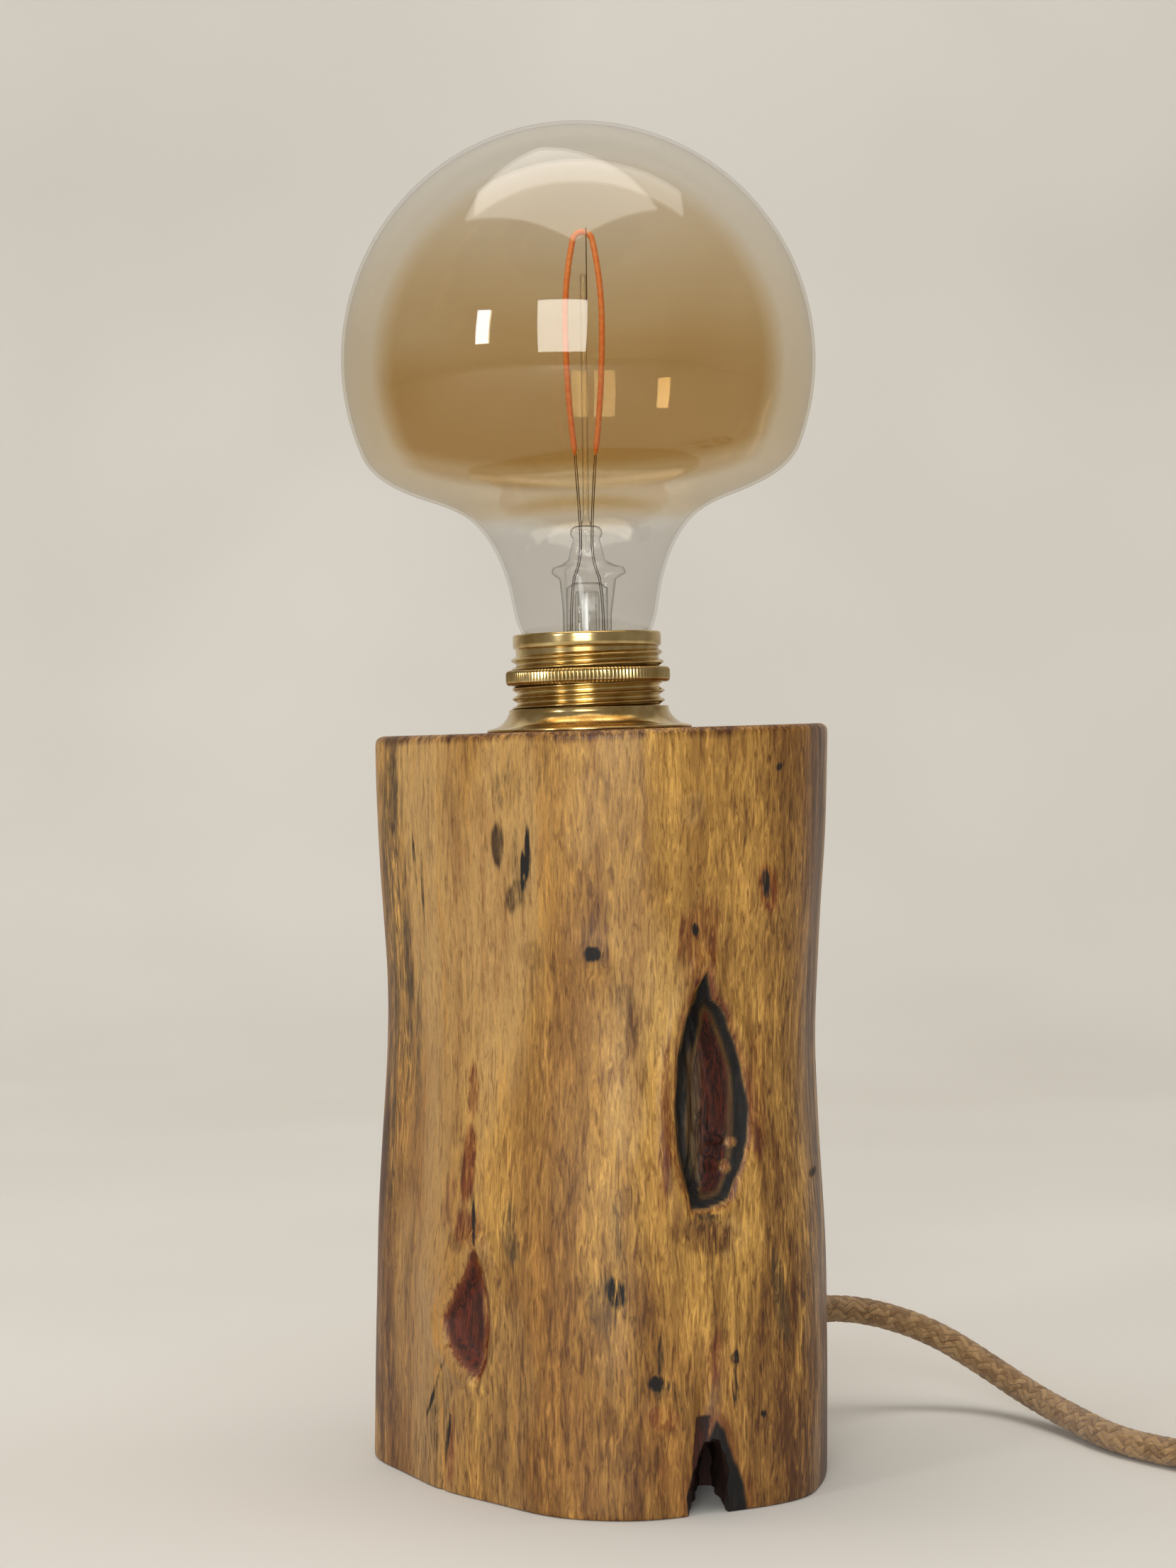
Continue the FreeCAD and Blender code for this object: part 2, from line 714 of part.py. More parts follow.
def shade_ring():
    """Ring that runs on the skirt's thread and clamps a shade against the collar."""
    low, high = size.ring_rest, size.ring_rest + size.ring_height
    hole, out, worn = size.skirt_crest + size.fit_gap, size.ring_radius, 1.1
    points = [
        (hole, low),
        (out - worn, low, worn),
        (out, low + worn),
        (out, high - worn, worn),
        (out - worn, high),
        (hole, high),
    ]
    return turned("shade_ring", points, SEAT)


CONTACT_X = 10.5  # the two terminals, either side of the holder's axis
SCREW_R = 11.7  # circle of the three screws that hold the screw shell


def insert_holes():
    """What is cut out of the porcelain: terminal pockets, the contact's rivet and the shell's screws."""
    tools = []
    for side in (-1, 1):
        name = f"terminal_pocket{side + 1}"
        tools.append(block(name, 6.6, 7.2, 4, CONTACT_X * side, 0, -float(size.insert_under) - 1))
    tools.append(rod("rivet_hole", 1.3, 10, at(-8.7, 0, -float(size.insert_under) - 1)))
    for i in range(3):
        spot = at(axis=UP, angle=120 * i).multiply(at(SCREW_R, 0, -float(size.insert_under) - 1))
        tools.append(rod(f"insert_screw_hole{i}", 1.3, 10, spot))
    return tools


def porcelain_insert():
    low, floor, top = -size.insert_under, -size.insert_floor, size.insert_top
    wall = size.shell_bore + size.shell_wall + 0.6
    points = [
        (0, low),
        (size.insert_radius - 1, low),
        (size.insert_radius, low + 1),
        (size.insert_radius, top - 1),
        (size.insert_radius - 1, top),
        (wall + 0.6, top),
        (wall, top - 0.6),
        (wall, floor),
        (0, floor),
    ]
    insert = cut("porcelain_insert", turned("insert_core", points), *insert_holes())
    insert.Placement = SEAT
    return insert


def screw_shell():
    """Rolled brass shell with the female thread, on a floor ring that its screws hold."""
    bore, wall, floor = size.shell_bore, size.shell_wall, -size.insert_floor
    points = [
        (10.2, floor),
        (bore + wall, floor),
        (bore + wall, size.shell_top),
        (bore, size.shell_top),
        (bore, floor + 0.5),
        (10.2, floor + 0.5),
    ]
    core = turned("shell_core", points)
    tools = [rod(f"shell_hole{i}", 1.25, 3, at(angle=120 * i).multiply(at(SCREW_R, 0, floor - 1))) for i in range(3)]
    pitch = float(size.cap_pitch)
    section = [(bore + 0.2, -0.8), (bore - 0.7, -0.25), (bore - 0.7, 0.25), (bore + 0.2, 0.8)]
    # the shell's crests stand half a turn below the bulb's, so they pass down its grooves
    start = CAP_THREAD_START + pitch / 2
    thread = ridge("shell_thread", pitch, 3, start, section)
    shell = fuse("screw_shell", cut("shell_drilled", core, *tools), thread)
    shell.Placement = SEAT
    return shell


def centre_contact():
    """Spring tongue on the porcelain floor, with the rivet that leads to its terminal."""
    floor = -float(size.insert_floor)
    tongue = block("contact_tongue", 13.4, 5, 0.6, -3.2, 0, floor)
    rivet = rod("contact_rivet", 1.2, 3.2, at(-8.7, 0, floor - 3.1))
    contact = fuse("centre_contact", tongue, rivet)
    contact.Placement = SEAT
    return contact


def insert_screws():
    """Three cheese head screws that hold the screw shell; the first reaches its terminal."""
    floor = -float(size.insert_floor) + 0.5
    screws = []
    for i in range(3):
        points = [(0, floor - 5.4), (1.15, floor - 5.4), (1.15, floor), (1.5, floor), (1.5, floor + 1), (0, floor + 1)]
        spot = at(angle=120 * i).multiply(at(SCREW_R, 0, 0))
        screw = turned(f"insert_screw{i}", points)
        slot = block(f"insert_screw_slot{i}", 4, 0.5, 1, 0, 0, floor + 0.5)
        one = cut(f"insert_screw_cut{i}", screw, slot)
        one.Placement = spot
        screws.append(one)
    trio = group("insert_screws", *screws)
    trio.Placement = SEAT
    return trio


TERMINAL_TOP = -16.6
TERMINAL_FOOT = -23.5
WIRE_HEIGHT = -21.5
WIRE_RADIUS = 1.1


def terminal_blocks():
    """Two brass pillars, each with a wire hole along X and a screw hole from below."""
    blocks = []
    for side in (-1, 1):
        x = CONTACT_X * side
        pillar = block(f"pillar{side + 1}", 6, 6.6, TERMINAL_TOP - TERMINAL_FOOT, x, 0, TERMINAL_FOOT)
        wire_hole = rod(f"pillar_wire{side + 1}", WIRE_RADIUS + 0.1, 4.5)
        inner = x - 3 * side
        wire_hole.Placement = along(Vector(inner - side, 0, WIRE_HEIGHT), Vector(side, 0, 0))
        give(wire_hole, "Height", 6.0)
        tools = [wire_hole, rod(f"pillar_screw{side + 1}", 1.65, 3, at(x, 0, TERMINAL_FOOT - 1))]
        if side > 0:
            tools.append(rod("pillar_shell_screw", 1.2, 2.5, at(SCREW_R, 0, TERMINAL_TOP - 2)))
        blocks.append(cut(f"pillar_cut{side + 1}", pillar, *tools))
    pair = group("terminal_blocks", *blocks)
    pair.Placement = SEAT
    return pair


def terminal_screws():
    tip = WIRE_HEIGHT - WIRE_RADIUS - 0.05
    screws = []
    for side in (-1, 1):
        points = [(0, tip - 6), (2.4, tip - 6), (2.4, tip - 4.2), (1.6, tip - 4.2), (1.6, tip), (0, tip)]
        screw = turned(f"terminal_screw{side + 1}", points, at(CONTACT_X * side, 0, 0))
        slot = block(f"terminal_slot{side + 1}", 0.6, 6, 1.6, CONTACT_X * side, 0, tip - 7)
        screws.append(cut(f"terminal_screw_cut{side + 1}", screw, slot))
    pair = group("terminal_screws", *screws)
    pair.Placement = SEAT
    return pair


# ---------------------------------------------------------------- the bulb

CAP_THREAD_START = -7.6
CAP_THREAD_TURNS = 4


def bulb_cap():
    """Thin screw cap with its rolled thread and plain upper end."""
    root, wall = size.cap_root, size.cap_wall
    points = [
        (9.4, -size.cap_foot),
        (root - 0.6, -size.cap_foot, 0.6),
        (root, -size.cap_foot + 0.6),
        (root, 8),
        (size.cap_skirt, 9),
        (size.cap_skirt, size.cap_top),
        (size.cap_skirt - wall, size.cap_top),
        (size.cap_skirt - wall, 9.3),
        (root - wall, 8.3),
        (root - wall, -size.cap_foot + wall),
        (9.4, -size.cap_foot + wall),
    ]
    core = turned("cap_core", points)
    section = [
        (root - 0.2, -1.35),
        (root + 0.35, -0.95),
        (root + 0.85, -0.5),
        (size.cap_crest, 0),
        (root + 0.85, 0.5),
        (root + 0.35, 0.95),
        (root - 0.2, 1.35),
    ]
    thread = ridge("cap_thread", size.cap_pitch, CAP_THREAD_TURNS, CAP_THREAD_START, section)
    cap = fuse("bulb_cap", core, thread)
    cap.Placement = SEAT
    return cap


def cap_insulator():
    """Black glass ring between the cap and the centre contact."""
    foot = -float(size.contact_depth) + 0.6
    points = [(2, foot), (5.2, foot), (9.2, -9.2), (9.2, -7.7), (11, -7.7), (11, -6.9), (2, -6.9)]
    return turned("cap_insulator", points, SEAT)


def bulb_centre_contact():
    """Solder disc at the very bottom of the bulb, round about the screw axis."""
    foot = -size.contact_depth
    points = [(0, foot), (3.8, foot), (4.6, foot + 0.5), (4.6, foot + 0.6), (1.9, foot + 0.6), (1.9, -9), (0, -9)]
    return turned("bulb_centre_contact", points, SEAT)


# the glass below its round top, from the neck's lower end up, as (radius, height)
NECK = [
    (12.2, 10.6),
    (12.6, 15.2),
    (14.5, 19.8),
    (16.4, 24.4),
    (17.9, 27.9),
    (19.5, 35.3),
    (21.4, 42.7),
    (24.8, 50.1),
    (30.3, 56.4),
    (40.5, 61.3),
    (49.2, 65),
]


def bulb_glass():
    """Blown glass: a round top on a shoulder that draws in to the neck, all of one thickness."""
    wall, centre, foot = float(size.glass_wall), float(size.dome_centre), float(size.dome_foot)
    radius = float(size.dome_radius)
    lean = math.asin((foot - centre) / radius)
    join = Vector(radius * math.cos(lean), 0, foot)
    onward = Vector(-math.sin(lean), 0, math.cos(lean))
    outer = Part.BSplineCurve()
    points = [Vector(r, 0, h) for r, h in NECK] + [join]
    start = (points[1] - points[0]).normalize()
    outer.interpolate(Points=points, InitialTangent=start, FinalTangent=onward)
    inside = []
    for point in points:
        direction = outer.tangent(outer.parameter(point))[0]
        inside.append(point + Vector(-direction.z, 0, direction.x) * wall)
    inner = Part.BSplineCurve()
    inner.interpolate(Points=inside, InitialTangent=start, FinalTangent=onward)

    def dome(r, lowest):
        half_way = (lean + math.pi / 2) / 2
        middle = Vector(r * math.cos(half_way), 0, centre + r * math.sin(half_way))
        return Part.Arc(lowest, middle, Vector(0, 0, centre + r)).toShape()

    apex = Part.LineSegment(Vector(0, 0, centre + radius), Vector(0, 0, centre + radius - wall))
    foot_edge = Part.LineSegment(inside[0], points[0])
    edges = [outer.toShape(), dome(radius, join), apex.toShape()]
    edges += [dome(radius - wall, inside[-1]), inner.toShape(), foot_edge.toShape()]
    section = Part.Face(Part.Wire(Part.__sortEdges__(edges)))
    return feature("bulb_glass", section.revolve(ORIGIN, UP, 360), SEAT)


def stem_glass():
    """Flared glass stem, closed above by the pinch and the bead that hold the wires."""
    foot, out, wall = size.stem_foot, size.stem_radius, size.stem_wall
    points = [
        (11.1, foot),
        (out + 1.5, foot + 5, 6),
        (out, foot + 10),
        (out, 40.5, 2.4),
        (out - 2.2, 43.2),
        (3.1, 45.4),
        (3.1, 49.6),
        (4.15, 50.8),
        (4.15, 52.4, 1),
        (3.2, size.bead_top),
        (0, size.bead_top),
        (0, 38.6),
        (out - wall, 38.2),
        (out - wall, foot + 10),
        (out + 0.7, foot + 4.8),
        (10.4, foot),
    ]
    return turned("stem_glass", points, STEM)


def exhaust_tube():
    out = size.exhaust_radius
    return turned("exhaust_tube", [(out - 0.8, 2), (out, 2), (out, 35.5), (out - 0.8, 36.3)], STEM)


def support_rod():
    return rod("support_rod", size.rod_radius, size.rod_top - size.bead_top, STEM.multiply(at(z=size.bead_top)))


def anchor_wire():
    """Thin wire on the rod's end, hooked round the top of the filament."""
    top, x, hook = float(size.filament_top), 0.95, 1.15
    centre = Vector(x, 0, top)
    points = [Vector(x, 0, 112), Vector(x, 0, 122), Vector(x, -hook, top - 3), Vector(x, -hook, top)]
    climb = path_of([tuple(p) for p in points], radius=2)
    over = Part.Arc(points[-1], centre + Vector(0, 0, hook), centre + Vector(0, hook, 0)).toShape()
    under = Part.Arc(
        centre + Vector(0, hook, 0),
        centre + Vector(0, hook * math.cos(0.9), -hook * math.sin(0.9)),
        centre + Vector(0, hook * math.cos(1.8), -hook * math.sin(1.8)),
    ).toShape()
    return tube("anchor_wire", Part.Wire(climb.Edges + [over, under]), 0.14, STEM)


def led_filament():
    """One hairpin of coated diodes: two long shallow bows joined by a tight bend."""
    foot, top = float(size.filament_foot), float(size.filament_top)
    low, wide = float(size.filament_foot_half), float(size.filament_wide_half)
    belly, tight = float(size.filament_wide_at), float(size.filament_bend)
    rise = top - tight - belly
    upper = (rise**2 + wide**2 - tight**2) / (2 * (wide - tight))
    lower = ((belly - foot) ** 2 + (wide - low) ** 2) / (2 * (wide - low))
    swing = math.atan2(rise, upper - wide)
    drop = math.asin((belly - foot) / lower)

    def bow(side, radius, height, angle):
        x = wide - radius + radius * math.cos(angle)
        return Vector(side * x, 0, height + radius * math.sin(angle))

    edges = []
    for side in (-1, 1):
        ends = [bow(side, lower, belly, -drop), bow(side, lower, belly, -drop / 2), bow(side, lower, belly, 0)]
        rises = [ends[-1], bow(side, upper, belly, swing / 2), bow(side, upper, belly, swing)]
        pair = [Part.Arc(*ends).toShape(), Part.Arc(*rises).toShape()]
        edges += pair if side < 0 else [Part.Arc(*rises[::-1]).toShape(), Part.Arc(*ends[::-1]).toShape()]
        shoulder = rises[-1]
    crown = Part.Arc(Vector(-shoulder.x, 0, shoulder.z), Vector(0, 0, top), shoulder).toShape()
    edges.insert(2, crown)
    return tube("led_filament", Part.Wire(edges), size.filament_radius, STEM)


def lead_wires():
    """Two doubled wires from the filament's ends down through the pinch to the board."""
    wires = []
    for side in (-1, 1):
        for strand in (-1, 1):
            shift = 0.24 * strand
            near = side * 1.5 + shift
            points = [
                (side * float(size.filament_foot_half) + shift, 0, float(size.filament_foot) - 0.05),
                (near, 0, float(size.bead_top)),
                (near, 0, 44.5),
                (side * 4.35 + shift, 0, 37.2),
                (side * 4.35 + shift, 0, -1.9),
            ]
            wires.append(tube(f"lead_wire{side + 1}{strand + 1}", path_of(points, radius=1.5), 0.13))
    four = group("lead_wires", *wires)
    four.Placement = STEM
    return four


def driver_board():
    return rod("driver_board", 10.6, 1, SEAT.multiply(at(z=-3)))


def driver_parts():
    """Capacitor, rectifier and resistor on the board."""
    capacitor = rod("capacitor", 2.6, 7.4, at(0, 7, -2))
    rectifier = block("rectifier", 4.8, 3.8, 1.6, 0, -6.6, -2)
    resistor = solid("Part::Cylinder", "resistor", along(Vector(-2.6, -2.6, -0.7), Vector(1, 0, 0)))
    resistor.Radius, resistor.Height = 1.2, 5.2
    parts = group("driver_parts", capacitor, rectifier, resistor)
    parts.Placement = SEAT
    return parts


# ---------------------------------------------------------------- the lead inside


def inner_cord():
    """The lead from the bush's tip through the channel and up the bore to the cord grip."""
    grip_top = -size.pocket_depth + size.plate_thick + size.cup_wall + size.nut_height + size.grip_height
    top = SEAT.multVec(Vector(0, 0, float(grip_top) + 1))
    wire = path_of([tuple(LEAD_OUT), tuple(BORE_FOOT), tuple(top)], radius=12)
    return tube("inner_cord", wire, size.cord_radius)


def core_wires():
    """The two insulated cores from the lead's end to the terminals."""
    low = -size.pocket_depth + size.plate_thick + size.cup_wall + size.nut_height + size.grip_height + 1
    cores = []
    for side in (-1, 1):
        points = [(side * 1.9, 0, float(low)), (side * 1.9, 0, WIRE_HEIGHT), (side * 11.6, 0, WIRE_HEIGHT)]
        cores.append(tube(f"core_wire{side + 1}", path_of(points, radius=4), WIRE_RADIUS))
    pair = group("core_wires", *cores)
    pair.Placement = SEAT
    return pair


# ---------------------------------------------------------------- the lead outside

SWITCH = at(size.switch_x, size.switch_y, 0)
CORD_LINE = 7.5  # height of the lead's axis where it passes the switch
SWITCH_REACH = float(size.switch_long) / 2 + float(size.sleeve_long)
INTO_SWITCH = (float(size.switch_x) - SWITCH_REACH, float(size.switch_y), CORD_LINE)
OUT_OF_SWITCH = (float(size.switch_x) + SWITCH_REACH, float(size.switch_y), CORD_LINE)
COIL_FOOT = float(size.cord_radius) + float(size.coil_rise)

# the route from the bush to the switch: out, round to the front, down to the table and along it
LAMP_TO_SWITCH = [
    tuple(LEAD_OUT),
    tuple(LEAD_OUT + OUT * 17.6),
    (78.5, 65.3, 27),
    (95.4, 64.8, 21.4),
    (110.2, 57.8, 13),
    (121.3, 45.1, 7),
    (129.8, 28, 4.8),
    (136.4, 10.8, 3.8),
    (147, -3.8, 3.75),
    (158.6, -15, 4.2),
    (172.5, -22.5, 5.2),
    (187.8, -26, CORD_LINE),
    INTO_SWITCH,
]

COIL_TURNS = 5 + (float(size.coil_end) - float(size.coil_start)) / 360
COIL_HALF = COIL_TURNS / 2
COIL_OUTER = float(size.coil_radius) + COIL_STEP * COIL_HALF / 2
COIL_CENTRE = Vector(float(size.coil_x), float(size.switch_y) + COIL_OUTER, 0)


def coil_place(turn):
    """Centre line of the coil after some turns: in on the table, up a layer, and out again."""
    from_middle = turn - COIL_HALF
    radius = coil_radius_at(turn)
    climb = min(max((from_middle + 0.25) / 0.5, 0), 1)
    height = COIL_FOOT + COIL_STEP * (1 - math.cos(math.pi * climb)) / 2
    angle = math.radians(float(size.coil_start)) + 2 * math.pi * turn
    return COIL_CENTRE + Vector(radius * math.cos(angle), radius * math.sin(angle), height)


def coil_heading(turn):
    """Unit tangent of the centre line; level and square to the radius at both ends and in the middle."""
    angle = math.radians(float(size.coil_start)) + 2 * math.pi * turn
    level = Vector(-math.sin(angle), math.cos(angle), 0)
    if min(turn, COIL_TURNS - turn, 9 * abs(turn - COIL_HALF)) < 1e-6:
        from_middle = turn - COIL_HALF
        if abs(from_middle) < 1e-6:
            slope = COIL_STEP * math.pi / (2 * math.pi * coil_radius_at(turn))
            return (level + UP * slope).normalize()
        return level
    small = 1e-4
    return (coil_place(turn + small) - coil_place(turn - small)).normalize()


def coil_radius_at(turn):
    return COIL_OUTER - COIL_STEP * (COIL_HALF - abs(turn - COIL_HALF))


def biarc(start, from_heading, end, to_heading):
    """Two tangent arcs between two points with given headings."""
    gap = end - start
    both = from_heading + to_heading
    spare = 2 * (1 - from_heading.dot(to_heading))
    along_both = gap.dot(both)
    reach = (math.sqrt(along_both**2 + spare * gap.dot(gap)) - along_both) / spare
    first, second = start + from_heading * reach, end - to_heading * reach
    middle = (first + second) * 0.5
    return [bend(start, first, middle), bend(middle, second, end)]


def coil_wire():
    """The coil's centre line on biarcs of a quarter turn at most, straight for one diameter at its ends."""
    quarters = math.floor(COIL_HALF / 0.25)
    steps = [COIL_HALF + k * 0.25 for k in range(-quarters, quarters + 1)]
    turns = [0.0] + [t for t in steps if 0.08 < t < COIL_TURNS - 0.08] + [COIL_TURNS]
    edges = []
    for one, two in zip(turns, turns[1:]):
        edges += biarc(coil_place(one), coil_heading(one), coil_place(two), coil_heading(two))
    straight = 2 * float(size.cord_radius)
    start, end = coil_place(0), coil_place(COIL_TURNS)
    before, after = start - coil_heading(0) * straight, end + coil_heading(COIL_TURNS) * straight
    edges.insert(0, Part.LineSegment(before, start).toShape())
    edges.append(Part.LineSegment(end, after).toShape())
    return Part.Wire(edges), before, after


def least_gap(wire, turns, diameter):
    """The smallest gap between the coil's own turns, measured on points of its centre line."""
    per_turn = 48
    points = wire.discretize(Number=int(turns * per_turn))
    least = min(
        (points[i] - points[j]).Length
        for i in range(len(points))
        for j in range(i + per_turn // 2, len(points))
    )
    return least - diameter


COIL_WIRE, COIL_IN, COIL_OUT = coil_wire()

SWITCH_TO_COIL = [OUT_OF_SWITCH, (290, -26, CORD_LINE), (304, -26, COIL_FOOT), tuple(COIL_IN)]

# from the coil's upper layer down to the plug, which lies between the coil and the lamp
PLUG_LINE = float(size.plug_thick) / 2
COIL_TO_PLUG = [
    tuple(COIL_OUT),
    tuple(COIL_OUT + coil_heading(COIL_TURNS) * 11),
    (283.5, 65, 9.5),
    (270, 58.5, PLUG_LINE),
    (259.5, 53.5, PLUG_LINE),
]
PLUG_HEADING = (Vector(*COIL_TO_PLUG[-1]) - Vector(*COIL_TO_PLUG[-2])).normalize()
PLUG = Placement(
    Vector(COIL_TO_PLUG[-1][0], COIL_TO_PLUG[-1][1], 0),
    Rotation(Vector(1, 0, 0), PLUG_HEADING),
)


def free_cord(name, route):
    return tube(name, path_of(route, told=name), size.cord_radius)


def cord_coil():
    gap = least_gap(COIL_WIRE, COIL_TURNS, 2 * float(size.cord_radius))
    print(f"cord_coil: {COIL_TURNS:.2f} turns, least gap to itself {gap:.2f}")
    return tube("cord_coil", COIL_WIRE, size.cord_radius)


def rounded_box(x0, y0, x1, y1, radius):
    """The outline of a rectangle with round corners, as points for a sketch."""
    r = radius
    return [
        (x0 + r, y0),
        (x1 - r, y0, r),
        (x1, y0 + r),
        (x1, y1 - r, r),
        (x1 - r, y1),
        (x0 + r, y1, r),
        (x0, y1 - r),
        (x0, y0 + r, r),
    ]


def coil_tie():
    """Band round all the turns on the coil's right hand side."""
    radii = [coil_radius_at(turn + 0.25) for turn in range(math.ceil(COIL_TURNS - 0.25))]
    room = float(size.cord_radius) + 0.4
    inner = [min(radii) - room, float(size.coil_rise) - 0.05]
    inner += [max(radii) + room, COIL_FOOT + COIL_STEP + room]
    thick = float(size.tie_thick)
    outer = [inner[0] - thick, inner[1] - thick, inner[2] + thick, inner[3] + thick]
    band = padded("tie_band", "XZ_Plane", rounded_box(*outer, 4.4), size.tie_width, middle=True)
    hole = padded("tie_hole", "XZ_Plane", rounded_box(*inner, 3.7), 20, middle=True)
    tie = cut("coil_tie", band, hole)
    tie.Placement = Placement(COIL_CENTRE, Rotation())
    return tie


# ---------------------------------------------------------------- the rocker switch


def switch_half(name, low, high, rounded_at, radius):
    """A shell half: its outline in plan padded between two heights, with one end's edges rounded."""
    long, wide = size.switch_long / 2, size.switch_wide / 2
    points = rounded_box(-long, -wide, long, wide, size.switch_round)
    body = padded(name, "XY_Plane", points, high - low, place=at(z=low))
    level = 0 if rounded_at == "foot" else float(high) - float(low)
    return rounded(body, radius, lambda middle, edge: abs(middle.z - level) < 0.01)


def switch_room(name, low, high):
    """The hollow inside a shell half."""
    long = size.switch_long / 2 - size.switch_wall - 1.5
    wide = size.switch_wide / 2 - size.switch_wall
    points = rounded_box(-long, -wide, long, wide, size.switch_round - size.switch_wall)
    return padded(name, "XY_Plane", points, high - low, place=at(z=low))


def switch_tunnel(name):
    """Where the strain reliefs sit in both ends."""
    tunnel = rod(name, size.cord_radius + 0.9, size.switch_long + 4)
    tunnel.Placement = along(Vector(-float(size.switch_long) / 2 - 2, 0, CORD_LINE), Vector(1, 0, 0))
    return tunnel


SCREW_SPOTS = [(-19, 7.2), (19, -7.2)]


def switch_base():
    outer = switch_half("base_outer", 0, CORD_LINE, "foot", 1.6)
    room = switch_room("base_room", size.switch_wall, CORD_LINE + 1)
    posts = [rod(f"base_post{i}", 2.6, CORD_LINE - 1, at(x, y, 1)) for i, (x, y) in enumerate(SCREW_SPOTS)]
    holes = []
    for i, (x, y) in enumerate(SCREW_SPOTS):
        holes.append(rod(f"base_hole{i}", 1.2, 20, at(x, y, -1)))
        holes.append(rod(f"base_head{i}", 2.1, 3, at(x, y, -1)))
    shell = cut("base_shell", outer, room, switch_tunnel("base_tunnel"))
    base = cut("switch_base", fuse("base_with_posts", shell, *posts), *holes)
    base.Placement = SWITCH
    return base


def switch_cover():
    high, wall = size.switch_high, size.switch_wall
    outer = switch_half("cover_outer", CORD_LINE, high, "top", 2.6)
    room = switch_room("cover_room", CORD_LINE - 1, high - wall)
    window = block("cover_window", size.window_long, size.window_wide, 20, 0, 0, CORD_LINE)
    posts = [
        rod(f"cover_post{i}", 2.6, float(high) - 1 - CORD_LINE, at(x, y, CORD_LINE))
        for i, (x, y) in enumerate(SCREW_SPOTS)
    ]
    holes = [rod(f"cover_hole{i}", 1.0, 5, at(x, y, CORD_LINE - 1)) for i, (x, y) in enumerate(SCREW_SPOTS)]
    ears = []
    for side in (-1, 1):
        y = side * (float(size.window_wide) / 2 + 1.1)
        foot = float(size.rocker_pivot) - 2.4
        ears.append(block(f"cover_ear{side + 1}", 5, 1.8, float(high) - 1 - foot, 0, y, foot))
    axle = solid("Part::Cylinder", "cover_axle_hole", Radius=size.pivot_radius + 0.05, Height=18)
    axle.Placement = along(Vector(0, -9, float(size.rocker_pivot)), Vector(0, 1, 0))
    shell = cut("cover_shell", outer, room, window, switch_tunnel("cover_tunnel"))
    cover = cut("switch_cover", fuse("cover_with_posts", shell, *posts, *ears), *holes, axle)
    cover.Placement = SWITCH
    return cover


def rocker_place():
    """The rocker stands tipped to one side about its pin."""
    centre = Vector(0, 0, float(size.rocker_pivot))
    tip = Rotation(Vector(0, 1, 0), -float(size.rocker_throw))
    return SWITCH.multiply(Placement(ORIGIN, tip, centre))


def switch_rocker():
    """Rocker with a dished top, pierced by its pin."""
    pivot, half = size.rocker_pivot, size.window_long / 2 - 0.9
    points = [
        (-half, pivot + 1.6),
        (-4, pivot - 2.4),
        (4, pivot - 2.4),
        (half, pivot + 1.6),
        (half, pivot + 4.8),
        (half - 0.6, pivot + 5.3),
        (0, pivot + 3.9),
        (0.6 - half, pivot + 5.3),
        (-half, pivot + 4.8),
    ]
    body = padded("rocker_body", "XZ_Plane", points, size.window_wide - 0.6, middle=True)
    hole = solid("Part::Cylinder", "rocker_hole", Radius=size.pivot_radius + 0.05, Height=16)
    hole.Placement = along(Vector(0, -8, float(pivot)), Vector(0, 1, 0))
    rocker = cut("switch_rocker", body, hole)
    rocker.Placement = rocker_place()
    return rocker


def rocker_pin():
    length = 14.4
    start = Vector(0, -length / 2, float(size.rocker_pivot))
    return rod("rocker_pin", size.pivot_radius, length, SWITCH.multiply(along(start, Vector(0, 1, 0))))


def contact_bridge():
    """Brass tongue under the rocker that closes the live core's gap."""
    bridge = block("contact_bridge", 9, 3, 0.5, 0, 0, float(size.rocker_pivot) - 2.9)
    bridge.Placement = rocker_place().multiply(bridge.Placement)
    return bridge


def switch_contacts():
    """Two fixed brass contacts on the base, each with its clamp for the live core."""
    floor, blade_top = float(size.switch_wall), 8.1
    contacts = []
    for side in (-1, 1):
        foot = block(f"contact_foot{side + 1}", 7, 4, 3.6, 11.5 * side, 0, floor)
        riser = block(f"contact_riser{side + 1}", 0.6, 3, blade_top - floor - 3, 8.4 * side, 0, floor + 3)
        blade = block(f"contact_blade{side + 1}", 4.8, 3, 0.6, 6.3 * side, 0, blade_top - 0.6)
        contacts.append(fuse(f"contact{side + 1}", foot, riser, blade))
    pair = group("switch_contacts", *contacts)
    pair.Placement = SWITCH
    return pair


def switch_screws():
    screws = []
    for i, (x, y) in enumerate(SCREW_SPOTS):
        points = [(0, 0.6), (1.9, 0.6), (1.9, 1.9), (0.95, 1.9), (0.95, CORD_LINE + 3.5), (0, CORD_LINE + 3.5)]
        screws.append(turned(f"switch_screw{i}", points, at(x, y, 0)))
    pair = group("switch_screws", *screws)
    pair.Placement = SWITCH
    return pair


def sleeve_points(length, inside, wide, narrow):
    """A tapered strain relief along +Z: a plug inside the housing, and ribs on the taper outside."""
    points = [(0, -inside), (wide, -inside)] + ([(wide, 0)] if inside else [])
    ribs = 3
    for i in range(ribs):
        low = float(length) * (0.16 + 0.25 * i)
        share = low / float(length)
        r = float(wide) + (float(narrow) - float(wide)) * share
        points += [(r, low), (r - 0.5, low + 0.3), (r - 0.5, low + 1.1), (r - 0.1, low + 1.4)]
    return points + [(narrow, length), (0, length)]


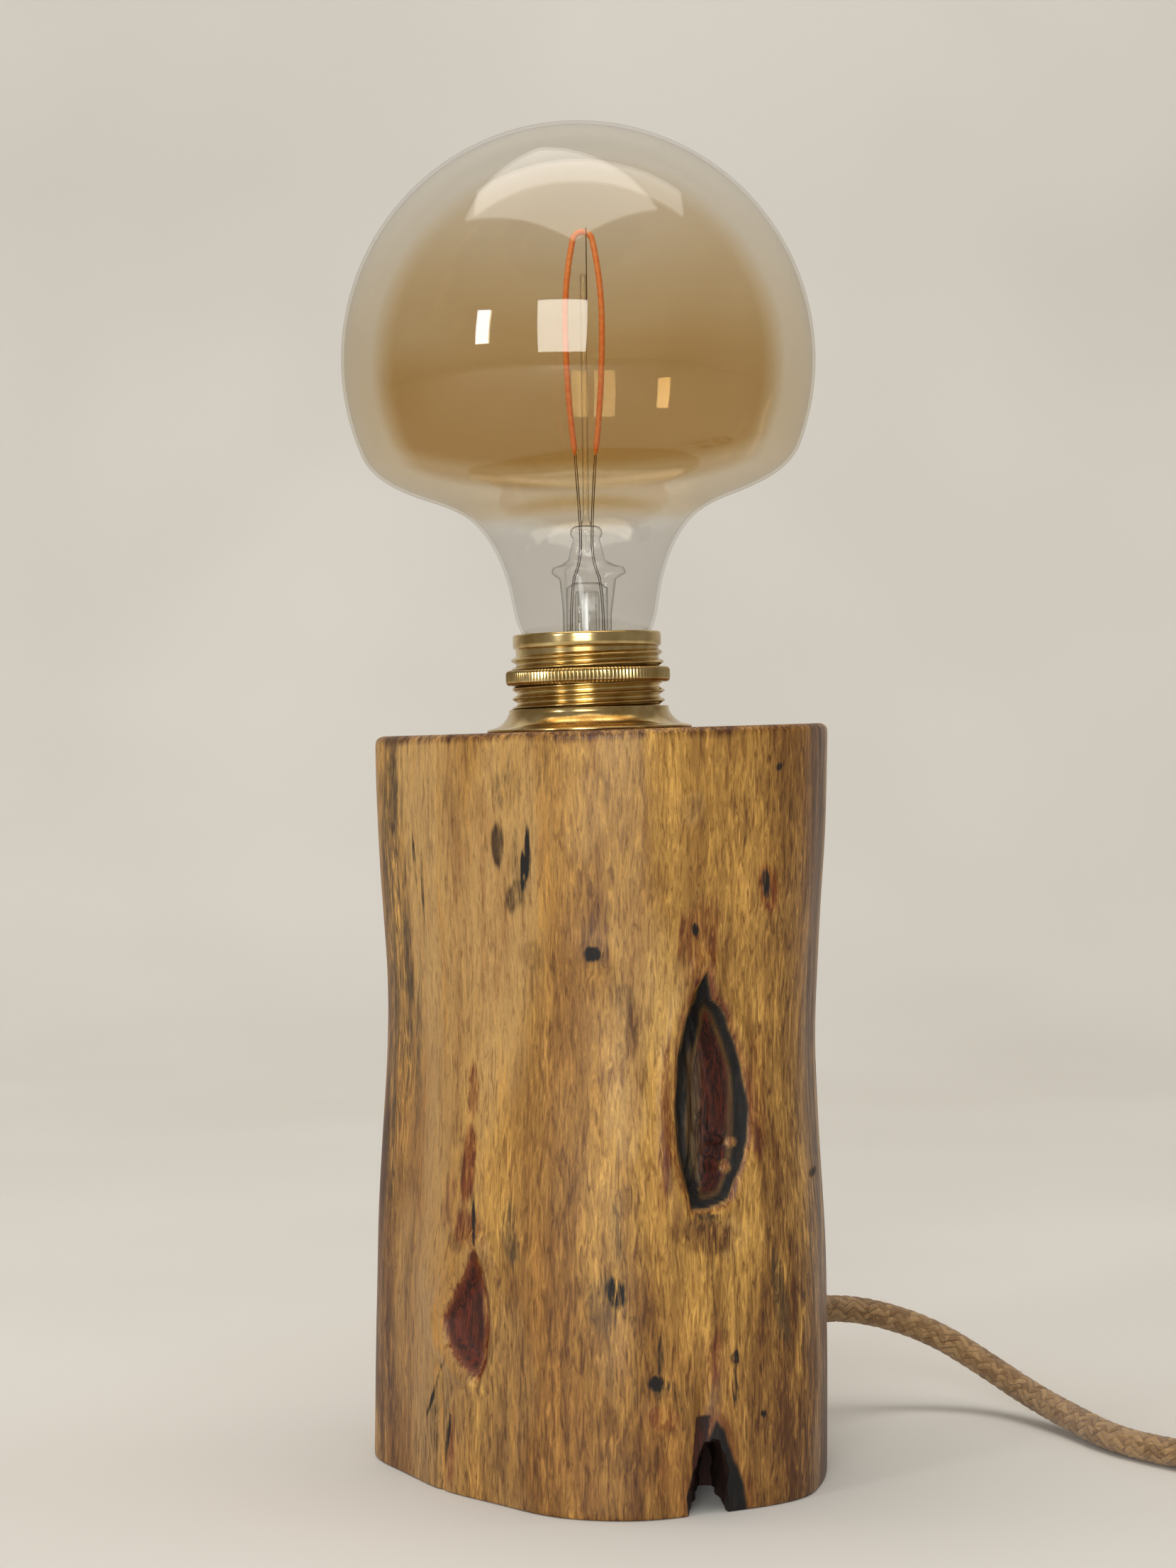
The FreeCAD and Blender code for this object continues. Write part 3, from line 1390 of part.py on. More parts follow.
def switch_sleeves():
    """Ribbed strain reliefs at both ends, moulded round the lead."""
    sleeves = []
    for side in (-1, 1):
        points = sleeve_points(size.sleeve_long, 4, size.cord_radius + 0.85, size.cord_radius + 0.35)
        end = Vector(side * float(size.switch_long) / 2, 0, CORD_LINE)
        sleeves.append(turned(f"switch_sleeve{side + 1}", points, along(end, Vector(side, 0, 0))))
    pair = group("switch_sleeves", *sleeves)
    pair.Placement = SWITCH
    return pair


def switch_cores():
    """The cut live core's two ends, and the neutral core that runs through."""
    inner = float(size.switch_long) / 2 - 4
    height = CORD_LINE - 1.6
    neutral = [(-inner, 1.7, height), (-16, 1.7, height), (-10, 5, 3.4), (10, 5, 3.4), (16, 1.7, height), (inner, 1.7, height)]
    cores = [tube("neutral_core", path_of(neutral, radius=3), WIRE_RADIUS)]
    for side in (-1, 1):
        live = [(side * inner, -1.7, height), (side * 18.5, -1.7, height), (side * 15.05, -1, 3.4)]
        cores.append(tube(f"live_core{side + 1}", path_of(live, radius=1.6), WIRE_RADIUS))
    three = group("switch_cores", *cores)
    three.Placement = SWITCH
    return three


# ---------------------------------------------------------------- the plug


def plug_body():
    """Flat two pin plug, drawn in towards the lead."""
    half, long, neck, corner = size.plug_wide / 2, size.plug_sleeve + size.plug_long, 6.6, 4
    start, middle = size.plug_sleeve, float(size.plug_thick) / 2
    points = [
        (start, -neck),
        (start + 5, -neck - 1.2),
        (start + 17, -half),
        (long - corner, -half, corner),
        (long, corner - half),
        (long, half - corner, corner),
        (long - corner, half),
        (start + 17, half),
        (start + 5, neck + 1.2),
        (start, neck),
    ]
    body = padded("plug_body", "XY_Plane", points, size.plug_thick)
    rounded(body, 2.6, lambda spot, edge: abs(abs(spot.z - middle) - middle) < 0.01)
    body.Placement = PLUG
    return body


def pin_spots():
    half = float(size.pin_spacing) / 2
    return [Vector(float(size.plug_sleeve + size.plug_long), side * half, PLUG_LINE) for side in (-1, 1)]


def plug_pins():
    """Two round pins: a bare tip, and a thinner root inside the insulating cover."""
    cover, long, out = size.pin_cover, size.pin_long, size.pin_radius
    points = [(0, 0), (1.5, 0), (1.5, cover), (out, cover), (out, long - 1), (out - 0.9, long), (0, long)]
    pins = []
    for i, spot in enumerate(pin_spots()):
        pins.append(turned(f"plug_pin{i}", points, along(spot, Vector(1, 0, 0))))
    pair = group("plug_pins", *pins)
    pair.Placement = PLUG
    return pair


def pin_covers():
    """Insulating sleeves on the roots of the pins."""
    cover, out = size.pin_cover, size.pin_radius
    points = [(1.5, 0), (out, 0), (out, cover), (1.5, cover)]
    covers = []
    for i, spot in enumerate(pin_spots()):
        covers.append(turned(f"pin_cover{i}", points, along(spot, Vector(1, 0, 0))))
    pair = group("pin_covers", *covers)
    pair.Placement = PLUG
    return pair


def plug_sleeve():
    """Ribbed strain relief between the lead and the plug."""
    points = sleeve_points(size.plug_sleeve, 0, size.cord_radius + 1.6, size.cord_radius + 0.35)
    start = Vector(float(size.plug_sleeve), 0, PLUG_LINE)
    sleeve = turned("plug_sleeve", points)
    sleeve.Placement = PLUG.multiply(along(start, Vector(-1, 0, 0)))
    return sleeve


# ---------------------------------------------------------------- make and write everything

PIECES = [
    log_body,
    cord_bush,
    mounting_plate,
    plate_screws,
    threaded_nipple,
    nipple_nut,
    cord_grip,
    socket_cup,
    socket_flange,
    socket_skirt,
    shade_ring,
    porcelain_insert,
    screw_shell,
    centre_contact,
    insert_screws,
    terminal_blocks,
    terminal_screws,
    bulb_cap,
    cap_insulator,
    bulb_centre_contact,
    bulb_glass,
    stem_glass,
    exhaust_tube,
    support_rod,
    anchor_wire,
    led_filament,
    lead_wires,
    driver_board,
    driver_parts,
    inner_cord,
    core_wires,
    cord_coil,
    coil_tie,
    switch_base,
    switch_cover,
    switch_rocker,
    rocker_pin,
    contact_bridge,
    switch_contacts,
    switch_screws,
    switch_sleeves,
    switch_cores,
    plug_body,
    plug_pins,
    pin_covers,
    plug_sleeve,
]

made = {piece.__name__: piece() for piece in PIECES}
for name, route in (
    ("cord_to_switch", LAMP_TO_SWITCH),
    ("cord_to_coil", SWITCH_TO_COIL),
    ("cord_to_plug", COIL_TO_PLUG),
):
    made[name] = free_cord(name, route)
doc.recompute()

for thing in doc.Objects:
    if "Invalid" in thing.State or "Error" in thing.State:
        raise RuntimeError(f"{thing.Name} failed: {thing.State}")
os.makedirs("parts", exist_ok=True)
for name, thing in made.items():
    thing.Label = name
    shape = thing.Shape
    if shape.isNull() or not shape.isValid() or not shape.Solids:
        raise RuntimeError(f"{name} has no valid solid")
    shape.exportStep(f"parts/{name}.step")
    print(f"{name}: {len(shape.Solids)} solids, {shape.Volume / 1000:.2f} cm3")
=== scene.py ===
import math

import bmesh
import bpy
import numpy as np
from mathutils import Matrix, Vector, noise


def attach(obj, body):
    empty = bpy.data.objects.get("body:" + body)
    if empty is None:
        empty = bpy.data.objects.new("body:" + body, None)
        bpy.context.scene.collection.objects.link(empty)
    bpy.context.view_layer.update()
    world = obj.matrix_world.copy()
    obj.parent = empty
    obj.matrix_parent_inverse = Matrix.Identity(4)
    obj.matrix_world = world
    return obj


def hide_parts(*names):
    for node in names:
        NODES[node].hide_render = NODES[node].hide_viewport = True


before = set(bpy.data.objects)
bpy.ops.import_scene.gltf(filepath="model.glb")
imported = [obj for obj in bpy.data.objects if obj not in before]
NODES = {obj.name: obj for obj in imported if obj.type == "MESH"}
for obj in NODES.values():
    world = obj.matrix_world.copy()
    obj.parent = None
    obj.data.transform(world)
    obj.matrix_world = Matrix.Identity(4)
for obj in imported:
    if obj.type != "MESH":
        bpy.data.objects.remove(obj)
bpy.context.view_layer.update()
MM = 0.001
FULL_TURN = 2 * math.pi

# in millimetres: the trunk's top at the holder, the holder's place on it, the slant of both
TOP = 191.5
SEAT_X = -1.9
LEAN = math.radians(1.75)
EXIT_UP = 29.5

# the camera looks level at the trunk's top from the front
CAMERA_X, CAMERA_BACK = -2.3, 800

# ---------------- the camera and the route of the lead

scene = bpy.context.scene
camera_data = bpy.data.cameras.new("camera")
camera = bpy.data.objects.new("camera", camera_data)
scene.collection.objects.link(camera)
scene.camera = camera
camera.location = (CAMERA_X * MM, -CAMERA_BACK * MM, TOP * MM)
camera.rotation_euler = (math.pi / 2, 0, 0)
camera_data.lens = 70.18
camera_data.sensor_width = 36
camera_data.shift_y = -0.03436
camera_data.clip_start = 0.05

CORD = 7.5
LEAD_ROUTE = [
    (49.577, 46.528, EXIT_UP), (62.022, 58.973, EXIT_UP), (78.5, 65.3, 27), (95.4, 64.8, 21.4),
    (110.2, 57.8, 13), (121.3, 45.1, 7), (129.8, 28, 4.8), (136.4, 10.8, 3.8),
    (147, -3.8, 3.75), (158.6, -15, 4.2), (172.5, -22.5, 5.2), (187.8, -26, 7.5),
    (203.6, -26, 7.5),
]
COIL_CENTRE = (325, 23.694)
COIL_TURNS = 5.5278
COIL_OUTER = 49.694
COIL_STEP = 8.1
POINTS_PER_TURN = 16
CHORD_SHARE = 0.981
SWITCH_RIGHT = (275.6, -26, 7.5)


def coil_point(turn):
    """A control point of the coil: in on the table, up a layer in the middle, and out again."""
    half = COIL_TURNS / 2
    radius = (COIL_OUTER - COIL_STEP * (half - abs(turn - half))) / CHORD_SHARE
    climb = min(max((turn - half + 0.25) / 0.5, 0), 1)
    angle = math.radians(-90 + 360 * turn)
    height = 4.6 + COIL_STEP * (1 - math.cos(math.pi * climb)) / 2
    return (
        COIL_CENTRE[0] + radius * math.cos(angle),
        COIL_CENTRE[1] + radius * math.sin(angle),
        height,
    )


def tail_route():
    steps = round(COIL_TURNS * POINTS_PER_TURN)
    return (
        [SWITCH_RIGHT, (290, -26, 7.5), (304, -26, 4.6), (317.5, -26, 4.6)]
        + [coil_point(COIL_TURNS * k / steps) for k in range(1, steps)]
        + [(308.985, 71.331, 12.7), (298.152, 69.421, 12.7), (283.5, 65, 9.5), (270, 58.5, 6.85)]
        + [(259.5, 53.5, 6.85)]
    )


def spline_points(name, route):
    """Points along the route's smooth spline, in metres."""
    curve = bpy.data.curves.new(name, "CURVE")
    curve.dimensions = "3D"
    curve.resolution_u = 16
    spline = curve.splines.new("NURBS")
    spline.points.add(len(route) - 1)
    for point, place in zip(spline.points, route):
        point.co = (place[0] * MM, place[1] * MM, place[2] * MM, 1)
    spline.order_u = 3
    spline.use_endpoint_u = True
    holder = bpy.data.objects.new(name, curve)
    scene.collection.objects.link(holder)
    bpy.context.view_layer.update()
    mesh = bpy.data.meshes.new_from_object(holder)
    points = np.array([v.co for v in mesh.vertices], float)
    bpy.data.objects.remove(holder)
    bpy.data.curves.remove(curve)
    bpy.data.meshes.remove(mesh)
    keep = np.r_[True, np.linalg.norm(np.diff(points, axis=0), axis=1) > 1e-7]
    return points[keep]


# ---------------- meshes

SEAT = Matrix.Translation((SEAT_X * MM, 0, TOP * MM)) @ Matrix.Rotation(-LEAN, 4, "Y")
STEM_FOOT = 10.8
STEM = (
    SEAT
    @ Matrix.Translation((0, 0, STEM_FOOT * MM))
    @ Matrix.Rotation(math.radians(1), 4, "Y")
    @ Matrix.Translation((0, 0, -STEM_FOOT * MM))
)


def moved(points, place):
    """Points in millimetres, in a place's own frame, as metres in the common frame."""
    m = np.array(place, float)
    return np.asarray(points, float) * MM @ m[:3, :3].T + m[:3, 3]


def mesh_piece(name, points, faces, sharp=None):
    mesh = bpy.data.meshes.new(name)
    mesh.from_pydata(np.asarray(points, float).reshape(-1, 3).tolist(), [], faces)
    mesh.update()
    mesh.shade_smooth()
    if sharp is not None:
        mesh.set_sharp_from_angle(angle=math.radians(sharp))
    piece = bpy.data.objects.new(name, mesh)
    scene.collection.objects.link(piece)
    return piece


def grid_faces(rows, columns, first=0, round_columns=True, round_rows=False):
    """Quads of a grid whose columns, and rows if asked, close on themselves."""
    index = first + np.arange(rows * columns).reshape(rows, columns)
    if round_columns:
        index = np.c_[index, index[:, :1]]
    if round_rows:
        index = np.r_[index, index[:1]]
    quads = np.stack([index[:-1, :-1], index[:-1, 1:], index[1:, 1:], index[1:, :-1]], axis=-1)
    return quads.reshape(-1, 4).tolist()


def end_faces(rows, columns):
    """The two end faces of a stack of rings."""
    last = (rows - 1) * columns
    return [list(range(columns))[::-1], list(range(last, last + columns))]


def round_angles(count):
    return np.linspace(0, FULL_TURN, count, endpoint=False)


def way_along(points):
    """How far along a line each of its points lies."""
    return np.r_[0, np.cumsum(np.linalg.norm(np.diff(points, axis=0), axis=1))]


def write_values(piece, **values):
    """Numbers on a piece's points, under the names by which its material reads them."""
    count = len(piece.data.vertices)
    for name, value in values.items():
        attribute = piece.data.attributes.new(name, "FLOAT", "POINT")
        attribute.data.foreach_set("value", np.resize(np.asarray(value, np.float32), count))


def lathe(name, profile, place, columns, closed=True, sharp=35, shape=None):
    """A turned piece from (radius, height) pairs in millimetres; shape may change radii all round."""
    profile = np.asarray(profile, float)
    angle = round_angles(columns)
    radius = np.repeat(profile[:, :1], columns, axis=1)
    height = np.repeat(profile[:, 1:], columns, axis=1)
    if shape is not None:
        radius = shape(radius, height, angle[None, :])
    points = np.stack([radius * np.cos(angle), radius * np.sin(angle), height], axis=-1)
    faces = grid_faces(len(profile), columns, round_rows=closed)
    if not closed:
        ends = zip(end_faces(len(profile), columns), profile[[0, -1], 0])
        faces += [face for face, reach in ends if reach < 0.2]
    return mesh_piece(name, moved(points, place), faces, sharp)


def arc(middle, radius, start, end, steps=6):
    """Points of an arc in a profile, by angles in degrees."""
    angles = np.radians(np.linspace(start, end, steps + 1))
    return [(middle[0] + radius * math.cos(a), middle[1] + radius * math.sin(a)) for a in angles]


def resampled(points, step):
    """Points at even distances along a dense line."""
    way = way_along(points)
    count = max(int(round(way[-1] / step)), 2)
    at = np.linspace(0, way[-1], count + 1)
    return np.stack([np.interp(at, way, points[:, k]) for k in range(3)], axis=1), at


def frames_along(points):
    """Two unit vectors square to a line at each point, turning as little as they can."""
    forward = np.gradient(points, axis=0)
    forward /= np.linalg.norm(forward, axis=1)[:, None]
    side = np.cross(forward[0], (0, 0, 1.0))
    if np.linalg.norm(side) < 0.1:
        side = np.cross(forward[0], (0, 1.0, 0))
    sides = []
    for f in forward:
        side = side - f * side.dot(f)
        side /= np.linalg.norm(side)
        sides.append(side)
    sides = np.array(sides)
    return sides, np.cross(forward, sides)


def tube_points(points, radius, columns, relief=None):
    """Rings of points round a line; relief gives the share of the radius at (way, angle)."""
    way = way_along(points)
    one, two = frames_along(points)
    angle = round_angles(columns)
    r = np.ones((len(points), 1)) * np.asarray(radius, float).reshape(-1, 1) * np.ones((1, columns))
    if relief is not None:
        r = r * relief(way[:, None], angle[None, :])
    cosine, sine = np.cos(angle)[None, :, None], np.sin(angle)[None, :, None]
    ring = one[:, None, :] * cosine + two[:, None, :] * sine
    return points[:, None, :] + ring * r[:, :, None]


def tube_piece(name, points, radius, columns=12, relief=None, sharp=None):
    """A closed tube along a line of points in metres."""
    rings = tube_points(np.asarray(points, float), radius, columns, relief)
    rows = len(rings)
    # rings run anticlockwise round the way, so every face is turned over
    faces = [f[::-1] for f in grid_faces(rows, columns) + end_faces(rows, columns)]
    return mesh_piece(name, rings, faces, sharp)


def facing_out(piece):
    """Turn a closed piece's faces outwards."""
    work = bmesh.new()
    work.from_mesh(piece.data)
    bmesh.ops.recalc_face_normals(work, faces=work.faces)
    work.to_mesh(piece.data)
    work.free()
    return piece


def joined(name, pieces):
    """Several pieces as one, with all their faces."""
    points, faces, first = [], [], 0
    for piece in pieces:
        mesh = piece.data
        co = np.zeros(len(mesh.vertices) * 3)
        mesh.vertices.foreach_get("co", co)
        points.append(co.reshape(-1, 3))
        faces += [[first + v for v in p.vertices] for p in mesh.polygons]
        first += len(mesh.vertices)
        bpy.data.objects.remove(piece)
        bpy.data.meshes.remove(mesh)
    return mesh_piece(name, np.concatenate(points), faces, 40)


def place_of(piece, material, body, slot, *replaced):
    piece.data.materials.append(material)
    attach(piece, body)
    if replaced:
        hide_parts(*replaced)
    return piece


def bell(x, width):
    return np.exp(-((x / width) ** 2))


def ease(low, high, x):
    t = np.clip((x - low) / (high - low), 0, 1)
    return t * t * (3 - 2 * t)


def rough(points, per_metre, seed=0.0, octaves=2):
    """Smooth noise between about -1 and 1 at points in millimetres; per_metre may differ by axis."""
    scaled = points * (np.asarray(per_metre, float) * MM) + seed
    total, weight, power = np.zeros(len(points)), 1.0, 0.0
    for k in range(octaves):
        total += weight * np.array([noise.noise(p) for p in (scaled * 2**k).tolist()])
        power += weight
        weight *= 0.5
    return total / power * 1.6


def linear(r, g, b):
    """A colour written as 0 to 255 in sRGB, as linear RGBA."""
    one = [c / 255 for c in (r, g, b)]
    return tuple(c / 12.92 if c <= 0.04045 else ((c + 0.055) / 1.055) ** 2.4 for c in one) + (1,)


# ---------------- materials


class Shader:
    """A material's node tree, built a node at a time."""

    def __init__(self, name):
        self.material = bpy.data.materials.new(name)
        self.material.use_nodes = True
        self.tree = self.material.node_tree
        self.tree.nodes.clear()
        self.output = self.tree.nodes.new("ShaderNodeOutputMaterial")
        self.where = None

    def node(self, kind, inputs=(), **settings):
        node = self.tree.nodes.new(kind)
        for key, value in settings.items():
            setattr(node, key, value)
        for key, value in dict(inputs).items():
            if isinstance(value, bpy.types.NodeSocket):
                self.tree.links.new(value, node.inputs[key])
            else:
                node.inputs[key].default_value = value
        return node

    def place(self, scale):
        if self.where is None:
            self.where = self.node("ShaderNodeTexCoord").outputs["Object"]
        inputs = {"Vector": self.where, "Scale": scale}
        return self.node("ShaderNodeMapping", inputs).outputs[0]

    def noise(self, scale, detail=3.0, distortion=0.0, roughness=0.55, size=(1, 1, 1)):
        inputs = {"Vector": self.place(size), "Scale": scale, "Detail": detail}
        inputs.update({"Distortion": distortion, "Roughness": roughness})
        return self.node("ShaderNodeTexNoise", inputs).outputs["Fac"]

    def value(self, name):
        return self.node("ShaderNodeAttribute", attribute_name=name).outputs["Fac"]

    def math(self, operation, one, two=0.0, three=0.0, clamp=False):
        inputs = {0: one, 1: two, 2: three}
        return self.node("ShaderNodeMath", inputs, operation=operation, use_clamp=clamp).outputs[0]

    def span(self, value, low, high, to_low=0.0, to_high=1.0):
        inputs = {"Value": value, "From Min": low, "From Max": high}
        inputs.update({"To Min": to_low, "To Max": to_high})
        return self.node("ShaderNodeMapRange", inputs).outputs[0]

    def mix(self, share, one, two, blend="MIX"):
        kinds = {"data_type": "RGBA", "blend_type": blend, "clamp_factor": True}
        return self.node("ShaderNodeMix", {0: share, 6: one, 7: two}, **kinds).outputs[2]

    def bump(self, height, strength, distance, normal=None):
        inputs = {"Height": height, "Strength": strength, "Distance": distance}
        if normal is not None:
            inputs["Normal"] = normal
        return self.node("ShaderNodeBump", inputs).outputs[0]

    def surface(self, **inputs):
        """The principled shader with its sockets by name, spaces written as underscores."""
        named = {key.replace("_", " "): value for key, value in inputs.items()}
        shader = self.node("ShaderNodeBsdfPrincipled", named)
        self.tree.links.new(shader.outputs[0], self.output.inputs[0])
        return self.material


def metal(name, light, dark, roughness, grain=900, stretch=(1, 1, 1), bump=0.00001, scratch=0.35):
    """A worn metal: two tones, cloudy gloss and fine scratches."""
    s = Shader(name)
    light, dark = linear(*light), linear(*dark)
    cloud = s.noise(140, 4)
    fine = s.noise(grain, 2, size=stretch)
    tone = s.mix(s.span(cloud, 0.35, 0.65), dark, light)
    tone = s.mix(s.span(fine, 0.62, 0.8, 0, scratch), tone, dark)
    gloss = s.span(cloud, 0.3, 0.7, roughness * 1.35, roughness * 0.75)
    normal = s.bump(fine, 0.35, bump)
    return s.surface(Base_Color=tone, Metallic=1.0, Roughness=gloss, Normal=normal)


def plastic(name, colour, roughness, grain, bump, lighter):
    """Moulded plastic or rubber with a fine spark grain and worn tone."""
    s = Shader(name)
    colour = linear(*colour)
    fine = s.noise(grain, 2)
    cloud = s.noise(60, 3)
    pale = tuple(min(c * lighter, 1) for c in colour[:3]) + (1,)
    tone = s.mix(s.span(cloud, 0.4, 0.7), colour, pale)
    gloss = s.span(cloud, 0.3, 0.7, roughness * 0.85, roughness * 1.15)
    return s.surface(Base_Color=tone, Roughness=gloss, Normal=s.bump(fine, 0.4, bump))


def clear(name, tint, edge, rim, gloss=0.02, coat_tint=None):
    """Thin clear glass: what is behind shows through it, tinted, and more so towards its edges."""
    s = Shader(name)
    facing = s.node("ShaderNodeLayerWeight", {"Blend": 0.5}).outputs["Facing"]
    steep = s.span(facing, 1 - rim, 1.0)
    through = tint
    if coat_tint is not None:
        amount = s.value("coat")
        bowl = s.span(facing, 0.38, 0.52, 1.0, 0.42)
        drift = s.noise(16, 2, size=(1, 1, 1.6))
        wave = s.span(drift, 0.35, 0.65, 0.88, 1.1)
        share = s.math("MULTIPLY", s.math("MULTIPLY", amount, bowl), wave, clamp=True)
        bare = s.mix(s.value("neck"), tint, (0.93, 0.925, 0.915, 1))
        through = s.mix(share, bare, coat_tint)
    through = s.mix(s.math("POWER", steep, 2.2), through, edge)
    glass = s.node("ShaderNodeBsdfTransparent", {"Color": through})
    ripple = s.bump(s.noise(34, 2, size=(1, 1, 0.5)), 0.16, 0.001)
    shine = s.node("ShaderNodeBsdfGlossy", {"Roughness": gloss, "Normal": ripple})
    # the share that a wall reflects rises towards its edges in the same way from inside and outside
    share = s.math("MULTIPLY_ADD", s.math("POWER", facing, 5.0), 0.5, 0.04)
    both = s.node("ShaderNodeMixShader", {0: share, 1: glass.outputs[0], 2: shine.outputs[0]})
    s.tree.links.new(both.outputs[0], s.output.inputs[0])
    return s.material


def wood_material():
    """Peeled and oiled trunk: yellow and tan with fine upright grain, stain marks, knots and char, with
    painted highlight and painted shade laid in as colour layers.
    """
    s = Shader("oiled_wood")
    broad = s.noise(26, 3, 0.6, size=(1, 1, 0.28))
    streak = s.noise(130, 4, 0.9, size=(1, 1, 0.12))
    fibre = s.noise(900, 3, 1.2, 0.6, size=(1, 1, 0.14))
    fleck = s.noise(2400, 2, 1.0, 0.6, size=(1, 1, 0.17))
    tone = s.mix(s.span(broad, 0.38, 0.62), linear(142, 98, 43), linear(180, 135, 64))
    uneven = s.math("MULTIPLY_ADD", s.math("SUBTRACT", streak, 0.5), 3.2, 1.0)
    uneven = s.math("MULTIPLY_ADD", s.math("SUBTRACT", fibre, 0.5), 2.2, uneven)

    def stain_and_light_layer(name, colour, low, high):
        """A layer of colour whose edge breaks up along the grain: stain, with painted highlight in the
        pale layer and painted shade in the grey and brown layers.
        """
        amount = s.span(s.math("MULTIPLY", s.value(name), uneven), low, high)
        return s.mix(amount, tone, linear(*colour))

    # pale layer: painted highlight on the swellings and down the left side, with paler wood at random
    tone = stain_and_light_layer("pale", (208, 168, 104), 0.15, 0.95)
    # brown layer: stain, painted shade down the right side, and darker towards the bottom
    tone = stain_and_light_layer("brown", (102, 62, 22), 0.1, 0.95)
    # grey layer: stain, with a painted shade band down the flat at the front left
    tone = stain_and_light_layer("grey", (92, 68, 36), 0.15, 0.9)
    tone = stain_and_light_layer("rust", (118, 58, 16), 0.15, 0.9)
    for source, low, high, most, factor in (
        (streak, 0.5, 0.68, 0.85, (0.54, 0.43, 0.34, 1)),
        (streak, 0.48, 0.32, 0.9, (1.34, 1.36, 1.42, 1)),
        (fibre, 0.5, 0.68, 0.95, (0.46, 0.37, 0.29, 1)),
        (fibre, 0.47, 0.33, 0.95, (1.45, 1.49, 1.6, 1)),
        (fleck, 0.52, 0.75, 0.7, (0.55, 0.48, 0.42, 1)),
    ):
        tone = s.mix(s.span(source, low, high, 0, most), tone, factor, "MULTIPLY")
    tone = stain_and_light_layer("dark", (20, 13, 8), 0.2, 0.8)
    hot = s.mix(s.span(fibre, 0.4, 0.62), linear(34, 8, 2), linear(98, 36, 11))
    tone = s.mix(s.value("ember"), tone, hot)
    soot = s.mix(s.span(fibre, 0.48, 0.7), linear(7, 6, 5), linear(38, 26, 17))
    tone = s.mix(s.value("char"), tone, soot)
    ash = s.math("MULTIPLY", s.value("ash"), s.span(fibre, 0.4, 0.56, 0.15, 1.1), clamp=True)
    tone = s.mix(ash, tone, linear(108, 88, 60))
    height = s.math("ADD", s.math("MULTIPLY", fibre, 0.7), s.math("MULTIPLY", fleck, 0.3))
    burnt = s.math("MAXIMUM", s.value("ember"), s.value("dark"))
    burnt = s.math("MAXIMUM", s.value("char"), burnt)
    normal = s.bump(height, 0.55, 0.0003)
    normal = s.bump(streak, 0.35, 0.0008, normal)
    gloss = s.math("MULTIPLY_ADD", burnt, 0.3, s.span(streak, 0.3, 0.7, 0.36, 0.5))
    return s.surface(Base_Color=tone, Roughness=gloss, Normal=normal, Specular_IOR_Level=0.42)


def jute_material():
    """Plaited plant fibre: each yarn a little different, with fine hairs along it, and painted shade
    between the yarns.
    """
    s = Shader("jute")
    fibre = s.noise(1900, 3, 1.5)
    tone = s.mix(s.value("yarn"), linear(122, 89, 50), linear(166, 131, 86))
    tone = s.mix(s.span(fibre, 0.52, 0.75, 0, 0.6), tone, linear(84, 56, 28))
    tone = s.mix(s.span(fibre, 0.45, 0.28, 0, 0.5), tone, linear(196, 166, 120))
    # painted shade in the grooves between the yarns
    tone = s.mix(s.value("deep"), tone, linear(58, 37, 19))
    look = {"Roughness": 0.85, "Sheen_Weight": 0.25, "Sheen_Roughness": 0.5}
    return s.surface(Base_Color=tone, Normal=s.bump(fibre, 0.8, 0.0003), **look)


BRASS = metal("brass", (222, 198, 142), (176, 146, 90), 0.19, 500, (1, 1, 2), 0.000008, 0.12)
STEEL = metal("zinc_steel", (196, 196, 192), (140, 140, 138), 0.32)
CAP_METAL = metal("nickel_cap", (190, 186, 176), (130, 126, 118), 0.26)
NICKEL = metal("bright_nickel", (214, 210, 202), (170, 166, 158), 0.2, 1200, (1, 1, 6))
WIRE = metal("dark_wire", (96, 74, 42), (46, 32, 18), 0.35, 2000)
RUBBER = plastic("black_rubber", (24, 23, 22), 0.62, 1800, 0.00006, 1.6)
BLACK = plastic("black_plastic", (26, 25, 25), 0.42, 2400, 0.00005, 1.4)
ROCKER = plastic("rocker_plastic", (36, 35, 34), 0.34, 3200, 0.00002, 1.25)
COVERS = plastic("pin_plastic", (30, 29, 29), 0.38, 2800, 0.00002, 1.3)
NYLON = plastic("nylon", (222, 218, 206), 0.45, 1500, 0.00003, 1.05)
CERAMIC = plastic("porcelain", (232, 228, 218), 0.18, 500, 0.00001, 1.03)
TIE = plastic("tie_band", (48, 45, 42), 0.7, 1400, 0.00012, 1.5)
BOARD = plastic("circuit_board", (212, 208, 190), 0.5, 900, 0.00002, 1.06)
PARTS = plastic("driver_parts", (52, 56, 66), 0.4, 1200, 0.00003, 1.5)
CORES = plastic("core_insulation", (96, 62, 38), 0.45, 1500, 0.00003, 1.4)
BLACK_GLASS = plastic("black_glass", (14, 13, 14), 0.12, 300, 0.00002, 1.8)
WOOD = wood_material()
JUTE = jute_material()
AMBER = clear(
    "amber_glass",
    (0.992, 0.992, 0.99, 1),
    linear(128, 108, 86),
    rim=0.07,
    gloss=0.015,
    coat_tint=(0.83, 0.725, 0.54, 1),
)
CLEAR = clear("clear_glass", (0.975, 0.975, 0.97, 1), linear(72, 68, 60), rim=0.62)
ROD_CLEAR = clear("rod_glass", (0.93, 0.91, 0.86, 1), linear(58, 46, 30), rim=0.85)


